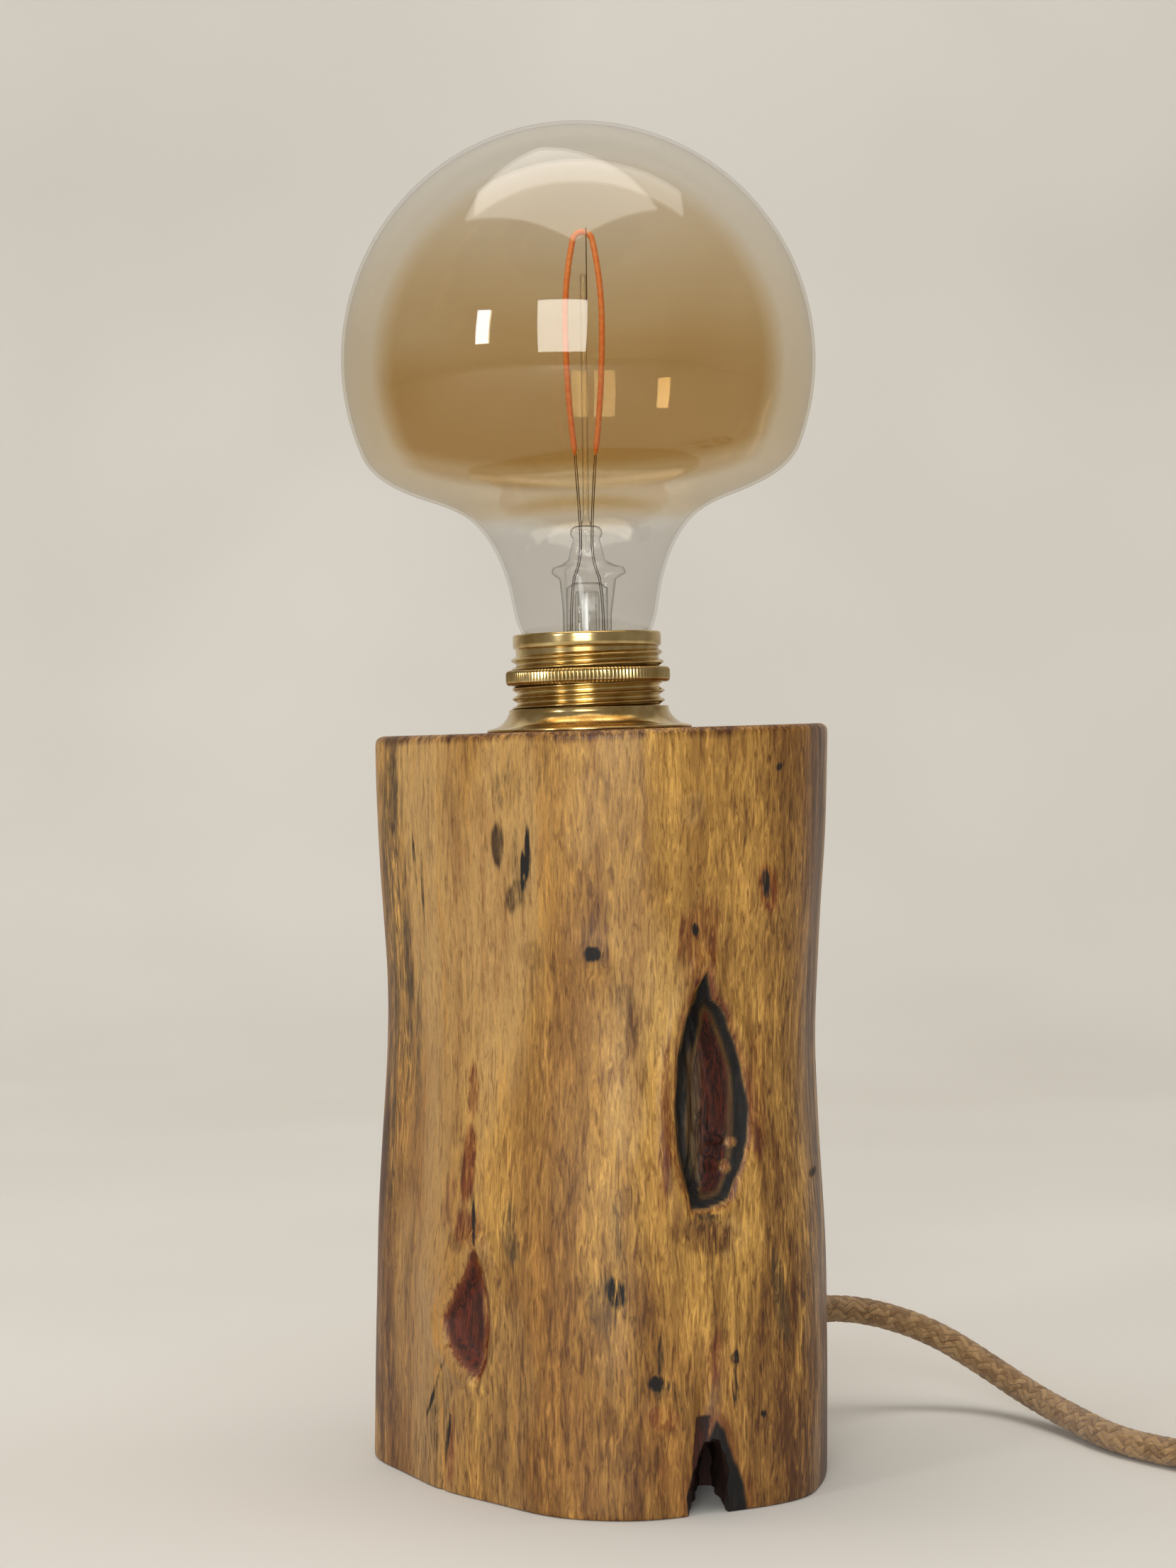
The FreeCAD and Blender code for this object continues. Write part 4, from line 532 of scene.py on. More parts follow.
def filament_material():
    """Orange coated diodes on a ribbon, unlit."""
    s = Shader("filament_coat")
    fine = s.noise(900, 3)
    tone = s.mix(s.span(fine, 0.35, 0.7), linear(246, 140, 70), linear(252, 172, 108))
    look = {"Roughness": 0.42, "Subsurface_Weight": 0.15, "Subsurface_Scale": 0.001}
    return s.surface(Base_Color=tone, Normal=s.bump(fine, 0.5, 0.0001), **look)


FILAMENT = filament_material()

# ---------------- the jute covered lead

CARRIERS = 10  # yarns each way round the plait
PLAIT = 6.4 * MM  # length in which a yarn goes round by one carrier's place, twice over


def plait(way, angle):
    """How far yarns stand up at a place on the plait, which yarn it is, and how deep between yarns."""
    one = angle * CARRIERS / FULL_TURN + way / PLAIT * 2
    two = angle * CARRIERS / FULL_TURN - way / PLAIT * 2
    i, j = np.floor(one), np.floor(two)
    first = (i - j) % 4 < 2
    across = np.where(first, one - i, two - j)
    along = np.where(first, two - j, one - i)
    which = np.where(first, i * 7 + 3, j * 5)
    side = 1 - np.abs(2 * across - 1) ** 2.2
    length = (i - j) % 2
    run = np.where(first, (along + (1 - length)) / 2, (along + length) / 2)
    lift = np.sin(np.clip(run, 0, 1) * math.pi) ** 0.5
    return side * (0.45 + 0.55 * lift), which, side


def jute_tube(name, points, step, columns):
    """The plaited lead along a line, with a tone for each yarn and painted shade between yarns, and the
    line itself.
    """
    dense, _ = resampled(points, step * MM)

    def relief(way, angle):
        stand, which, _ = plait(way, angle)
        loose = 0.012 * np.sin(which * 12.9898) + 0.010 * np.sin(way * 210 + angle * 3)
        return 0.915 + 0.085 * stand + 0.5 * loose

    piece = tube_piece(name, dense, CORD / 2 * MM, columns, relief)
    way = way_along(dense)[:, None]
    _, which, side = plait(way, round_angles(columns)[None, :])
    yarn = 0.5 + 0.5 * np.sin(which * 78.233 + np.floor(way / PLAIT) * 2.1)
    # deep: painted shade in the grooves between the yarns
    write_values(piece, yarn=yarn, deep=np.clip(1 - side * 2.4, 0, 1) * 0.85)
    return piece, dense


lead_line = spline_points("lead_line", LEAD_ROUTE)
tail_line = spline_points("tail_line", tail_route())
lead, lead_path = jute_tube("lead", lead_line, 0.45, 70)
tail, tail_path = jute_tube("tail", tail_line, 0.9, 40)
place_of(lead, JUTE, "lamp", "jute", "cord_to_switch")
place_of(tail, JUTE, "lamp", "jute", "cord_to_coil", "cord_coil", "cord_to_plug")


def stray_hairs(name, points, count, seed):
    """Short fine fibres that stand off the plait."""
    draw = np.random.default_rng(seed)
    one, two = frames_along(points)
    forward = np.gradient(points, axis=0)
    forward /= np.linalg.norm(forward, axis=1)[:, None]
    corners, faces = [], []
    for _ in range(count):
        k = int(draw.integers(4, len(points) - 4))
        turn = draw.uniform(0, FULL_TURN)
        out = one[k] * math.cos(turn) + two[k] * math.sin(turn)
        heading = forward[k] * draw.uniform(-1, 1) + out * draw.uniform(0.1, 0.8)
        heading += np.cross(forward[k], out) * draw.uniform(-1, 1)
        heading /= np.linalg.norm(heading)
        reach = draw.uniform(0.8, 2.4) * MM
        curl = np.cross(heading, out) * draw.uniform(-0.4, 0.4)
        start = points[k] + out * (CORD / 2 - 0.35) * MM
        thick = np.cross(heading, out)
        thick = thick / np.linalg.norm(thick) * 0.035 * MM
        first = len(corners)
        for t in np.linspace(0, 1, 4):
            spot = start + (heading + curl * t) * reach * t
            if spot[2] < 0.2 * MM:
                spot[2] = 0.2 * MM
            width = thick * (1 - 0.8 * t)
            corners += [spot + width, spot - width, spot + out * 0.035 * MM * (1 - 0.8 * t)]
        for r in range(3):
            for c in range(3):
                a, b = first + r * 3 + c, first + r * 3 + (c + 1) % 3
                faces.append([a, b, b + 3, a + 3])
    return mesh_piece(name, corners, faces)


HAIR = plastic("jute_hair", (186, 150, 104), 0.8, 2000, 0.00001, 1.3)
lead_hairs = place_of(stray_hairs("lead_hairs", lead_path, 900, 11), HAIR, "lamp", "jute")
tail_hairs = place_of(stray_hairs("tail_hairs", tail_path, 1600, 12), HAIR, "lamp", "jute")

print("lead and tail measure", way_along(lead_path)[-1], way_along(tail_path)[-1])

# ---------------- the trunk

TOP_ROUND, FOOT_ROUND = 2.0, 0.8
POCKET_R, POCKET_DEEP, BORE_R, BORE_DEEP = 21.6, 44.0, 8.0, 172.0
BORE_FOOT = (3.05, 0, EXIT_UP)
CHANNEL_R = 6
TRUNK_ROWS = 292
TRUNK_R = 60
WAIST, WAIST_UP, WAIST_SPREAD = 0.055, 115, 42
SPLIT_X, SPLIT_WIDE, SPLIT_HIGH = 27.2, 14.1, 22.8
SPLIT_END_WIDE, SPLIT_END_HIGH = 3.4, 11
RIDGE_U = 27.6  # a ridge left standing in the charred hollow
CHIPS = (((37.2, 83.7), (1.5, 1.2)), ((35.9, 77.4), (1.2, 1.6)))  # bare wood left in the hollow
NICK_Y = -2.8  # a short crack on the right side


def swell(angle, middle, spread, power=2):
    """A rise round one side, by angles in degrees."""
    off = (np.degrees(angle) - middle + 180) % 360 - 180
    return np.exp(-(np.abs(off / spread) ** power))


def skin_radius(angle, height):
    """The trunk's outline: flat at the front left, fuller at the front right, drawn in at its waist."""
    share = 1 - 0.175 * swell(angle, 218, 37.3, 4) + 0.022 * swell(angle, 281, 11)
    share += 0.066 * swell(angle, 323, 16)
    return TRUNK_R * share * (1 - WAIST * bell(height - WAIST_UP, WAIST_SPREAD))


def cut_height(x):
    """The height of the slanting top cut."""
    return TOP + (x - SEAT_X) * math.tan(LEAN)


def picture(points):
    """Where points of the front show in the picture: across and up, in millimetres at the lamp's axis."""
    share = CAMERA_BACK / (CAMERA_BACK + points[:, 1])
    return (points[:, 0] - CAMERA_X) * share, TOP + (points[:, 2] - TOP) * share


def depth_inside(u, w, outline):
    """Distance to an outline in the picture's plane, positive inside it."""
    ring = np.array(outline, float)
    nearest = np.full(len(u), 1e9)
    inside = np.zeros(len(u), bool)
    for (x0, y0), (x1, y1) in zip(ring, np.roll(ring, -1, axis=0)):
        run, rise = x1 - x0, y1 - y0
        t = np.clip(((u - x0) * run + (w - y0) * rise) / (run**2 + rise**2), 0, 1)
        nearest = np.minimum(nearest, np.hypot(u - x0 - t * run, w - y0 - t * rise))
        crosses = (y0 > w) != (y1 > w)
        where = x0 + (w - y0) * run / (rise if abs(rise) > 1e-9 else 1e-9)
        inside ^= crosses & (u < where)
    return np.where(inside, nearest, -nearest)


def spot(u, w, middle, half, lean=0.0):
    """1 in the middle of a spot of colour, falling to 0 at its ragged edge; lean shifts it with height.
    """
    across = (u - middle[0] - lean * (w - middle[1])) / half[0]
    up = (w - middle[1]) / half[1]
    return np.clip((1.25 - np.hypot(across, up)) / 0.5, 0, 1)


CHARRED = [
    (31.2, 128.6), (32.6, 121.5), (34.8, 119), (37.2, 113), (40.2, 104), (41.9, 93),
    (41.8, 84), (39.6, 77.5), (36.6, 70), (31.5, 67.2), (27.2, 66.3), (25.3, 73), (23.2, 82),
    (22.4, 94), (23.4, 106), (25.8, 116), (28.6, 124),
]
EYE = [
    (-30, 55.8), (-32.6, 49.5), (-36.2, 42.6), (-38.4, 38.2), (-37, 31.5), (-33.4, 26),
    (-28.6, 21), (-26.6, 26), (-25.6, 34.5), (-26.2, 43), (-28, 51),
]

SPLIT_CHAR = [
    (31.8, 6.5), (33.5, 11), (36, 8), (38.6, 0), (41.2, -6), (42, -13), (35.5, -13), (35, -4),
    (31.5, 1), (28.6, -2), (27.6, -13), (26, -13), (26.6, -6), (28.2, 2),
]

# marks of the front by colour, mostly stain, some painted highlight and painted shade: middle across and
# up, half width, half height, lean, strength
FRONT_STAINS_AND_PAINTED_LIGHT = {
    "dark": [
        (-16.4, 157.5, 1.3, 7.6, 0.1, 0.85), (1.4, 132.5, 2.1, 2.1, 0, 0.9),
        (47, 152, 1.3, 3.8, -0.08, 0.95), (27.9, 139.5, 0.85, 1.7, 0, 1),
        (31, 64.6, 3, 1.4, 0, 0.5), (-29.9, 62, 0.45, 7, 0, 0.8), (-40, 20.8, 0.5, 7.5, 0.3, 0.85),
        (-37, 3.5, 0.5, 12, 0.1, 0.9), (7, 45.5, 2.5, 4.6, 0, 0.85),
        (11.4, 37.5, 1.5, 1.5, 0, 0.45), (19, 20.4, 3.2, 2.2, 0.1, 0.95),
        (19.2, 27.5, 1, 5.5, 0, 0.65), (38.4, 16, 0.9, 7, -0.06, 0.95),
        (38.4, 26.6, 1.2, 1.9, 0, 0.95), (45.9, 12.7, 0.6, 1.1, 0, 0.9),
        (58.7, 75.7, 0.8, 1.6, 0.4, 0.8), (-29, -4, 0.55, 0.9, 0, 0.9),
        (-45.6, 158, 0.4, 9, -0.08, 0.6), (-43.2, 148, 0.4, 12, -0.03, 0.5),
        (50, 182, 0.7, 1.2, 0.2, 0.7),
    ],
    "grey": [
        (-23.7, 162.7, 1.6, 6, 0, 0.7), (-19, 149.2, 2.4, 5, 0.1, 0.6),
        (-17, 158, 3.4, 11, 0.05, 0.35), (-38.8, 14, 2.6, 11, 0.1, 0.55), (4.4, 42, 5, 9, 0, 0.5),
        (7.4, 62, 1.7, 9, 0, 0.6), (-20.3, 60.7, 1.8, 8, -0.08, 0.75), (22, 17, 5, 5, -0.2, 0.6),
        # the tall bands at -47.6, -52.6 and -44.2 across are painted shade down the flat at the front
        # left
        (50.6, 43, 1.8, 12, -0.15, 0.7), (-47.6, 120, 1.8, 26, -0.02, 0.95),
        (-52.6, 128, 4.2, 58, 0.01, 1), (-44.2, 110, 1, 24, 0.02, 0.6),
        (-20.5, 178, 3.4, 7, 0, 0.45), (-12, 180, 2.6, 8, 0, 0.35), (9, 120, 3, 5, 0, 0.35),
    ],
    "brown": [
        (1.6, 142, 1, 6, 0.12, 0.7), (1.4, 132.8, 3.8, 3.8, 0, 0.35),
        (27, 171.8, 2.8, 2.8, 0, 0.35), (43, 146, 0.9, 3, 0, 0.6), (38, 128, 5, 15, 0.1, 0.35),
        (31, 60, 9, 5.5, 0, 0.65), (-34.6, 57, 2.6, 3.2, 0, 0.6), (10, 70, 4, 4, 0.4, 0.35),
        (-7.4, 62, 1, 5, 0, 0.5), (19, 3.5, 1.7, 8, 0.12, 0.8), (36, 24, 6, 11, 0, 0.55),
        (51.9, 32.9, 2.2, 2.4, 0, 0.75), (49, 50, 1.4, 6, -0.1, 0.6), (12, 113, 2.2, 7, 0.1, 0.5),
        (-10, 110, 2.4, 6, 0.2, 0.4), (-14, 132, 4.5, 4, 0, 0.35), (40, 167, 2.4, 8, 0.05, 0.5),
        (52, 184, 6, 3.5, 0, 0.5), (54, 60, 2.6, 22, 0, 0.55), (56, 12, 4.5, 20, 0, 0.6),
    ],
    # pale: painted highlights, on the swellings and down the left side
    "pale": [
        (27, 171.8, 4.2, 4.8, 0, 0.35), (-40, 150, 5, 34, 0, 0.5), (10, 92, 6, 12, 0, 0.5),
        (8, 22, 6, 9, -0.2, 0.32), (-20, 20, 6, 26, 0, 0.35), (38, 60, 4, 7, 0, 0.4),
        (-1, 168, 6, 12, 0.1, 0.3), (-46, 40, 6, 30, 0, 0.4),
    ],
    "rust": [
        (47.4, 151.6, 2.7, 6, -0.1, 0.8), (29.5, 136, 5, 13, 0.08, 0.55),
        (24.5, 137, 0.8, 7, 0.1, 0.5), (20.4, 88, 1.8, 26, 0.03, 0.6), (44.6, 95, 2, 20, 0, 0.45),
        (-31.2, 78, 1.9, 11, 0.06, 0.85), (-30.2, 98, 1.4, 8, 0, 0.65),
        (-31.6, 60.5, 3.6, 5.5, 0, 0.6), (-36, 68, 2.2, 9, 0.1, 0.4),
        (-35.9, 3.5, 1.5, 12, 0.06, 0.7), (19.6, 11.5, 3.5, 3.4, 0, 0.95),
        (20.4, -2, 2.5, 8, 0.1, 0.4), (33.5, 26, 2, 9, 0.1, 0.55),
    ],
}
# the same for the back, seen from behind
BACK_STAINS = {
    "grey": [
        (-30, 120, 3, 40, 0.02, 0.6),
    ],
    "dark": [
        (14, 140, 1.8, 3, 0, 0.8), (-12, 60, 1.4, 5, 0.1, 0.8), (28, 22, 0.6, 16, 0.06, 0.8),
    ],
    "rust": [
        (14, 128, 2.6, 12, 0.05, 0.6), (-12, 48, 2.4, 10, 0.1, 0.6), (30, 20, 2.2, 15, 0.06, 0.5),
    ],
    "brown": [
        (14, 146, 3.5, 9, 0, 0.4), (34, 70, 5, 26, 0, 0.5), (-40, 60, 5, 30, 0, 0.45),
    ],
    "pale": [
        (0, 90, 8, 30, 0, 0.45), (-22, 25, 7, 18, 0, 0.4),
    ],
}


def trunk_grid():
    """The trunk's rings from foot to bore, how much each may be carved, and the way outwards."""
    columns = np.r_[np.arange(2, 180, 1.25), np.arange(180, 284, 0.5)]
    columns = np.r_[columns, np.arange(284, 313, 0.25), np.arange(313, 362, 0.5)]
    angle = np.radians(columns)
    cosine, sine = np.cos(angle), np.sin(angle)
    outward = np.stack([cosine, sine, 0 * cosine], axis=1)
    rows, side = [], []

    def row(points, weight=0.0):
        rows.append(points)
        side.append(np.full(len(columns), weight))

    def skin(inset, height):
        radius = skin_radius(angle, height) - inset
        return np.stack([radius * cosine, radius * sine, height + 0 * cosine], axis=1)

    foot = skin(FOOT_ROUND, np.zeros(len(columns)))
    for share in (0.002, 0.3, 0.6, 0.8, 0.92):
        row(foot * share)
    for turn in np.radians(np.linspace(0, 90, 5)):
        inset = FOOT_ROUND * (1 - math.sin(turn))
        height = np.full(len(columns), FOOT_ROUND * (1 - math.cos(turn)))
        row(skin(inset, height), math.sin(turn) * 0.8)
    edge = skin(0, np.full(len(columns), 190.0))
    top = cut_height(edge[:, 0])
    for t in np.arange(1, TRUNK_ROWS) / TRUNK_ROWS:
        height = FOOT_ROUND + t * (top - TOP_ROUND - FOOT_ROUND)
        row(skin(0, height), 1.0)
    for turn in np.radians(np.linspace(0, 90, 6)):
        inset = TOP_ROUND * (1 - math.cos(turn))
        points = skin(inset, top - TOP_ROUND + TOP_ROUND * math.sin(turn))
        row(points, max(math.cos(turn), 0) * 0.8)
    rim = rows[-1].copy()
    rim[:, 2] = cut_height(rim[:, 0])
    rows[-1] = rim

    def seat(radius, height):
        return moved(outward * radius + (0, 0, height), SEAT) / MM

    mouth = seat(POCKET_R, 0)
    for share in np.linspace(0, 1, 26)[1:]:
        row(rim + (mouth - rim) * share)
    for radius, height in (
        (POCKET_R, -POCKET_DEEP / 2),
        (POCKET_R, -POCKET_DEEP),
        (15, -POCKET_DEEP),
        (BORE_R, -POCKET_DEEP),
        (BORE_R, -110),
        (BORE_R, -BORE_DEEP),
        (0.05, -BORE_DEEP),
    ):
        row(seat(radius, height))
    return np.array(rows), np.array(side), outward, len(columns)


def trunk_piece():
    """The peeled trunk with its hollows, swellings and creases, before the split is cut."""
    rows, side, outward, columns = trunk_grid()
    points = rows.reshape(-1, 3)
    weight = side.reshape(-1)
    out = np.tile(outward, (len(rows), 1))
    x, y, z = points.T
    u, w = picture(points)
    front = ease(6, -6, y)
    fray = rough(points, (420, 420, 90), 3.3, 3)
    gentle = rough(points, (22, 22, 13), 8.1, 2)
    medium = rough(points, (70, 70, 22), 1.7, 2)
    move = 0.55 * gentle + 0.30 * medium
    # swellings that catch the light beside the hollows, and the creases that run up from the split
    for middle_u, middle_w, wide, tall, rise in (
        (8, 96, 9, 16, 1.0), (46, 74, 6, 12, 0.9), (9, 22, 8, 13, 0.9), (-39, 48, 7, 8, 1.0),
        (1.5, 132, 7, 7, 0.7), (48, 150, 5, 9, 0.7), (27, 172, 6, 6, 0.5),
        (19.6, 11.5, 5, 5, 0.9),
    ):
        off = ((u - middle_u) / wide) ** 2 + ((w - middle_w) / tall) ** 2
        move += front * rise * np.exp(-off)
    crease = np.abs(u - 31.5 - 0.08 * (w - 20))
    move -= front * 2.2 * bell(crease, 3.2) * ease(44, 14, w) * ease(-14, 0, w)
    move -= front * 0.9 * bell(u + 38.4 + 0.02 * w, 0.7) * ease(30, 22, w)
    burnt = depth_inside(u + 0.5 * fray, w + 1.4 * medium, CHARRED)
    deep = ease(-0.6, 5.2, burnt)
    ridge = bell(u - RIDGE_U, 2.2) * ease(72, 82, w) * ease(112, 100, w)
    chip = bell(u - 37.2, 1.5) * bell(w - 83.7, 1.3) + bell(u - 35.9, 1.3) * bell(w - 77.4, 1.6)
    floor = 8.6 - 4.2 * ridge - 4.5 * chip + 0.7 * fray
    lip = 0.7 * bell(burnt + 2.4, 2.0)
    move += front * (lip - deep * floor)
    socket = depth_inside(u + 0.3 * fray, w + 0.6 * medium, EYE)
    sunk = ease(-0.8, 3.6, socket) * (3.0 + 2.0 * ease(-38, -27, u))
    roll = 0.9 * bell(socket + 2.2, 1.8)
    move += front * (roll - sunk)
    nick = bell(y - NICK_Y, 1.3) * ease(105, 109, z)
    nick = nick * ease(125, 121, z) * (x > 0)
    move -= 1.7 * nick
    points = points + out * (move * weight)[:, None]
    faces = grid_faces(len(rows), columns) + end_faces(len(rows), columns)
    return mesh_piece("trunk", points * MM, faces)


def cutter(name, rings):
    """A closed tool from rings of equal numbers of points."""
    rings = np.array(rings)
    columns = rings.shape[1]
    faces = grid_faces(len(rings), columns) + end_faces(len(rings), columns)
    return facing_out(mesh_piece(name, rings * MM, faces))


def split_cutter():
    """The tapering split at the foot: an uneven arch, narrow and low at its blind end."""
    rings = []
    for depth in np.linspace(0, 1, 24):
        width = SPLIT_WIDE + (SPLIT_END_WIDE - SPLIT_WIDE) * depth
        height = SPLIT_HIGH + (SPLIT_END_HIGH - SPLIT_HIGH) * depth
        y = -70 + 45 * depth
        turn = np.linspace(0, math.pi, 33)
        half = width / 2
        x = SPLIT_X + half * np.cos(turn) + (1.5 - depth) * np.sin(turn)
        z = -1 + (height + 1) * np.sin(turn) ** 0.8
        wave = 0.35 * np.sin(turn * 9 + depth * 21) + 0.25 * np.sin(turn * 17 - depth * 33)
        x, z = x + wave * np.cos(turn), z + wave * np.sin(turn)
        rings.append(np.stack([x, y + 0 * x, z], axis=1))
    return cutter("split_cutter", rings)


def channel_cutter():
    """The bore through which the lead leaves the trunk."""
    foot = np.array(BORE_FOOT)
    heading = np.array((math.cos(math.pi / 4), math.sin(math.pi / 4), 0))
    across, up = np.array((-heading[1], heading[0], 0)), np.array((0, 0, 1))
    turn = round_angles(40)
    rings = []
    for reach in (2, 30, 80):
        ring = np.cos(turn)[:, None] * across + np.sin(turn)[:, None] * up
        rings.append(foot + heading * reach + CHANNEL_R * ring)
    return cutter("channel_cutter", rings)


def carve(piece, tools):
    """Cut the tools out of a piece."""
    for tool in tools:
        step = piece.modifiers.new("carve", "BOOLEAN")
        step.operation, step.solver, step.object = "DIFFERENCE", "EXACT", tool
    bpy.context.view_layer.update()
    result = piece.evaluated_get(bpy.context.evaluated_depsgraph_get())
    piece.data = bpy.data.meshes.new_from_object(result)
    piece.modifiers.clear()
    for tool in tools:
        bpy.data.objects.remove(tool)


trunk = trunk_piece()
carve(trunk, [split_cutter(), channel_cutter()])
trunk.data.shade_smooth()
trunk.data.set_sharp_from_angle(angle=math.radians(50))


def stains_and_painted_light(piece):
    """How much of each colour layer the wood has at each point: stain, ember, char and ash, with painted
    highlight in the pale layer, painted shade in the grey and brown layers, and a painted shadow inside
    the eye hollow.
    """
    mesh = piece.data
    co = np.zeros(len(mesh.vertices) * 3)
    mesh.vertices.foreach_get("co", co)
    points = co.reshape(-1, 3) / MM
    x, y, z = points.T
    u, w = picture(points)
    fray = rough(points, (420, 420, 60), 3.3, 3)
    medium = rough(points, (70, 70, 22), 1.7, 2)
    front = ease(8, -8, y)
    back = 1 - front
    names = "grey brown pale rust dark ember char ash".split()
    amounts = {name: np.zeros(len(points)) for name in names}

    def at_least(name, amount):
        amounts[name] = np.maximum(amounts[name], amount)

    for table, across, up, where in (
        (FRONT_STAINS_AND_PAINTED_LIGHT, u, w, front),
        (BACK_STAINS, -x, z, back),
    ):
        for name, spots in table.items():
            for *middle, wide, tall, lean, strength in spots:
                ragged = across + fray * (0.6 * min(wide, 4)), up + medium * 0.5 * min(tall, 6)
                at_least(name, spot(*ragged, middle, (wide, tall), lean) * strength * where)
    broad = rough(points, (30, 30, 7), 5.5, 2)
    at_least("brown", np.clip(broad * 1.8 - 0.2, 0, 0.6))
    at_least("pale", np.clip(-broad * 1.8 - 0.2, 0, 0.6))
    # the darker rim of the top cut and the tan of the sawn top; painted shade down the right side, deeper
    # low down; and darker towards the bottom
    edge = cut_height(x) - z
    at_least("brown", ease(3.4, 0.8, edge + 0.8 * medium) * 0.75)
    right = ease(26, 54, x)
    low = ease(110, 20, z)
    # painted shade down the right side
    at_least("brown", right * (0.6 + 0.4 * low))
    at_least("brown", low * 0.42)
    burnt = depth_inside(u + 0.5 * fray, w + 1.4 * medium, CHARRED)
    black = ease(-0.3, 0.5, burnt) * front
    heart = ease(2.4, 4.4, burnt + 0.5 * fray) * ease(38.5, 35.5, u + 0.6 * fray)
    at_least("char", black * (1 - 0.75 * heart))
    at_least("ember", black * heart)
    ridge = bell(u - RIDGE_U, 1.7) * ease(72, 80, w) * ease(112, 102, w)
    at_least("ash", front * ridge * 0.9 * (burnt > 0.5))
    for chip, half in CHIPS:
        bit = spot(u + 0.6 * fray, w, chip, half) * front
        amounts["char"] *= 1 - bit
        amounts["ember"] *= 1 - bit
        at_least("rust", bit * 0.8)
    halo = ease(-2.6, -0.2, burnt) * (1 - black)
    at_least("rust", halo * 0.75 * front)
    socket = depth_inside(u + 0.3 * fray, w + 0.6 * medium, EYE)
    at_least("ember", ease(0.2, 2.2, socket) * 0.95 * front)
    at_least("rust", ease(-0.9, 0.8, socket) * 0.95 * front)
    shadow = ease(1, 3, socket) * ease(-30, -27, u) * front
    at_least("char", shadow * 0.7)
    # the split's charred sides: inside it, and a ragged band round its mouth
    split = depth_inside(u + 0.4 * fray, w + 0.8 * medium, SPLIT_CHAR)
    skin = skin_radius(np.arctan2(y, x), z)
    inner = (y < -24) & (z < 24) & (np.abs(x - 27) < 9)
    inner &= np.hypot(x, y) < skin - 1.4
    at_least("char", ease(-0.4, 0.6, split) * front)
    amounts["char"] = np.where(inner, 0.6 + 0.4 * np.clip(fray, 0, 1), amounts["char"])
    amounts["ember"] = np.where(inner, 0.9, amounts["ember"])
    at_least("rust", ease(-3.6, -0.4, split) * 0.5 * front)
    crack = bell(y - NICK_Y, 1.2) * (x > 0)
    crack = crack * ease(106, 109, z) * ease(124, 121, z)
    at_least("char", crack)
    write_values(piece, **{name: np.clip(value, 0, 1) for name, value in amounts.items()})


stains_and_painted_light(trunk)
place_of(trunk, WOOD, "lamp", "timber", "log_body")

# ---------------- the brass holder

PITCH, ROOT, CREST = 2.5, 18.7, 20.0


def rolled_thread(height, angle, start, pitch):
    """How far a rolled thread stands up, from 0 to 1, and on which of its turns that is."""
    phase = (height - start) / pitch - angle / FULL_TURN
    near = np.abs(phase - np.round(phase))
    crest = 0.5 + 0.5 * np.cos(np.clip(near / 0.42, 0, 1) * math.pi)
    return crest, np.round(phase) + angle / FULL_TURN


def skirt_shape(radius, height, angle):
    """Rolled thread on the outer wall of the skirt, fading at its ends."""
    crest, turn = rolled_thread(height, angle, 2.4, PITCH)
    fade = ease(-0.05, 0.2, turn) * ease(7.15, 6.9, turn)
    outer = radius > 18.6
    return np.where(outer & (height < 22), radius + (CREST - ROOT) * crest**0.8 * fade, radius)


def skirt_profile():
    outer = [(ROOT, h) for h in np.arange(-12, 21.35, 0.125)]
    band = [(ROOT, 21.4), (19.2, 21.7), (19.4, 22.0), (19.4, 23), (19.4, 24.4)]
    lip = arc((18.7, 24.7), 0.7, 0, 90, 6) + arc((18.3, 24.7), 0.7, 90, 180, 6)
    inner = [(17.6, h) for h in (20, 10, 0, -12)]
    return outer + band + lip + inner


skirt = lathe("brass_skirt", skirt_profile(), SEAT, 224, sharp=50, shape=skirt_shape)
place_of(skirt, BRASS, "lamp", "brass", "socket_skirt")


def flare_points():
    """The collar's hollow flare, as part of a circle between its edge and its top."""
    start, end = np.array((25.7, 0.95)), np.array((20.9, 5.0))
    half = (end - start) / 2
    reach = math.sqrt(max(6.0**2 - half.dot(half), 0))
    normal = np.array((-half[1], half[0])) / np.linalg.norm(half)
    middle = start + half - normal * reach
    one, two = start - middle, end - middle
    first, last = (math.degrees(math.atan2(v[1], v[0])) for v in (one, two))
    if last - first > 180:
        last -= 360
    if first - last > 180:
        first -= 360
    return arc(tuple(middle), 6.0, first, last, 14)


flange = lathe(
    "brass_collar",
    [(23.2, 0), (26.6, 0), (26.8, 0.2), (26.8, 0.6), (26.6, 0.8)]
    + flare_points()
    + [(20.9, 5.6), (20.7, 5.9), (20.15, 5.9), (20.15, 3.3)],
    SEAT,
    192,
    sharp=45,
)
place_of(flange, BRASS, "lamp", "brass", "socket_flange")

RIDGES = 130


def knurl(radius, height, angle):
    """Straight ridges round the ring's outer edge."""
    wave = 0.5 + 0.5 * np.cos(angle * RIDGES)
    worn = ease(20.7, 21.3, radius)
    return radius - 0.30 * worn * (1 - wave**0.7)


ring = lathe(
    "knurled_ring",
    [(20.1, 12.1)]
    + arc((20.4, 13.2), 1.1, -90, 0, 7)
    + arc((20.4, 15.0), 1.1, 0, 90, 7)
    + [(20.1, 16.1)],
    SEAT,
    RIDGES * 6,
    sharp=60,
    shape=knurl,
)
place_of(ring, BRASS, "shade_ring", "brass", "shade_ring")

# ---------------- the bulb

CAP_PITCH, CAP_START, CAP_TURNS = 3.629, -7.6, 4


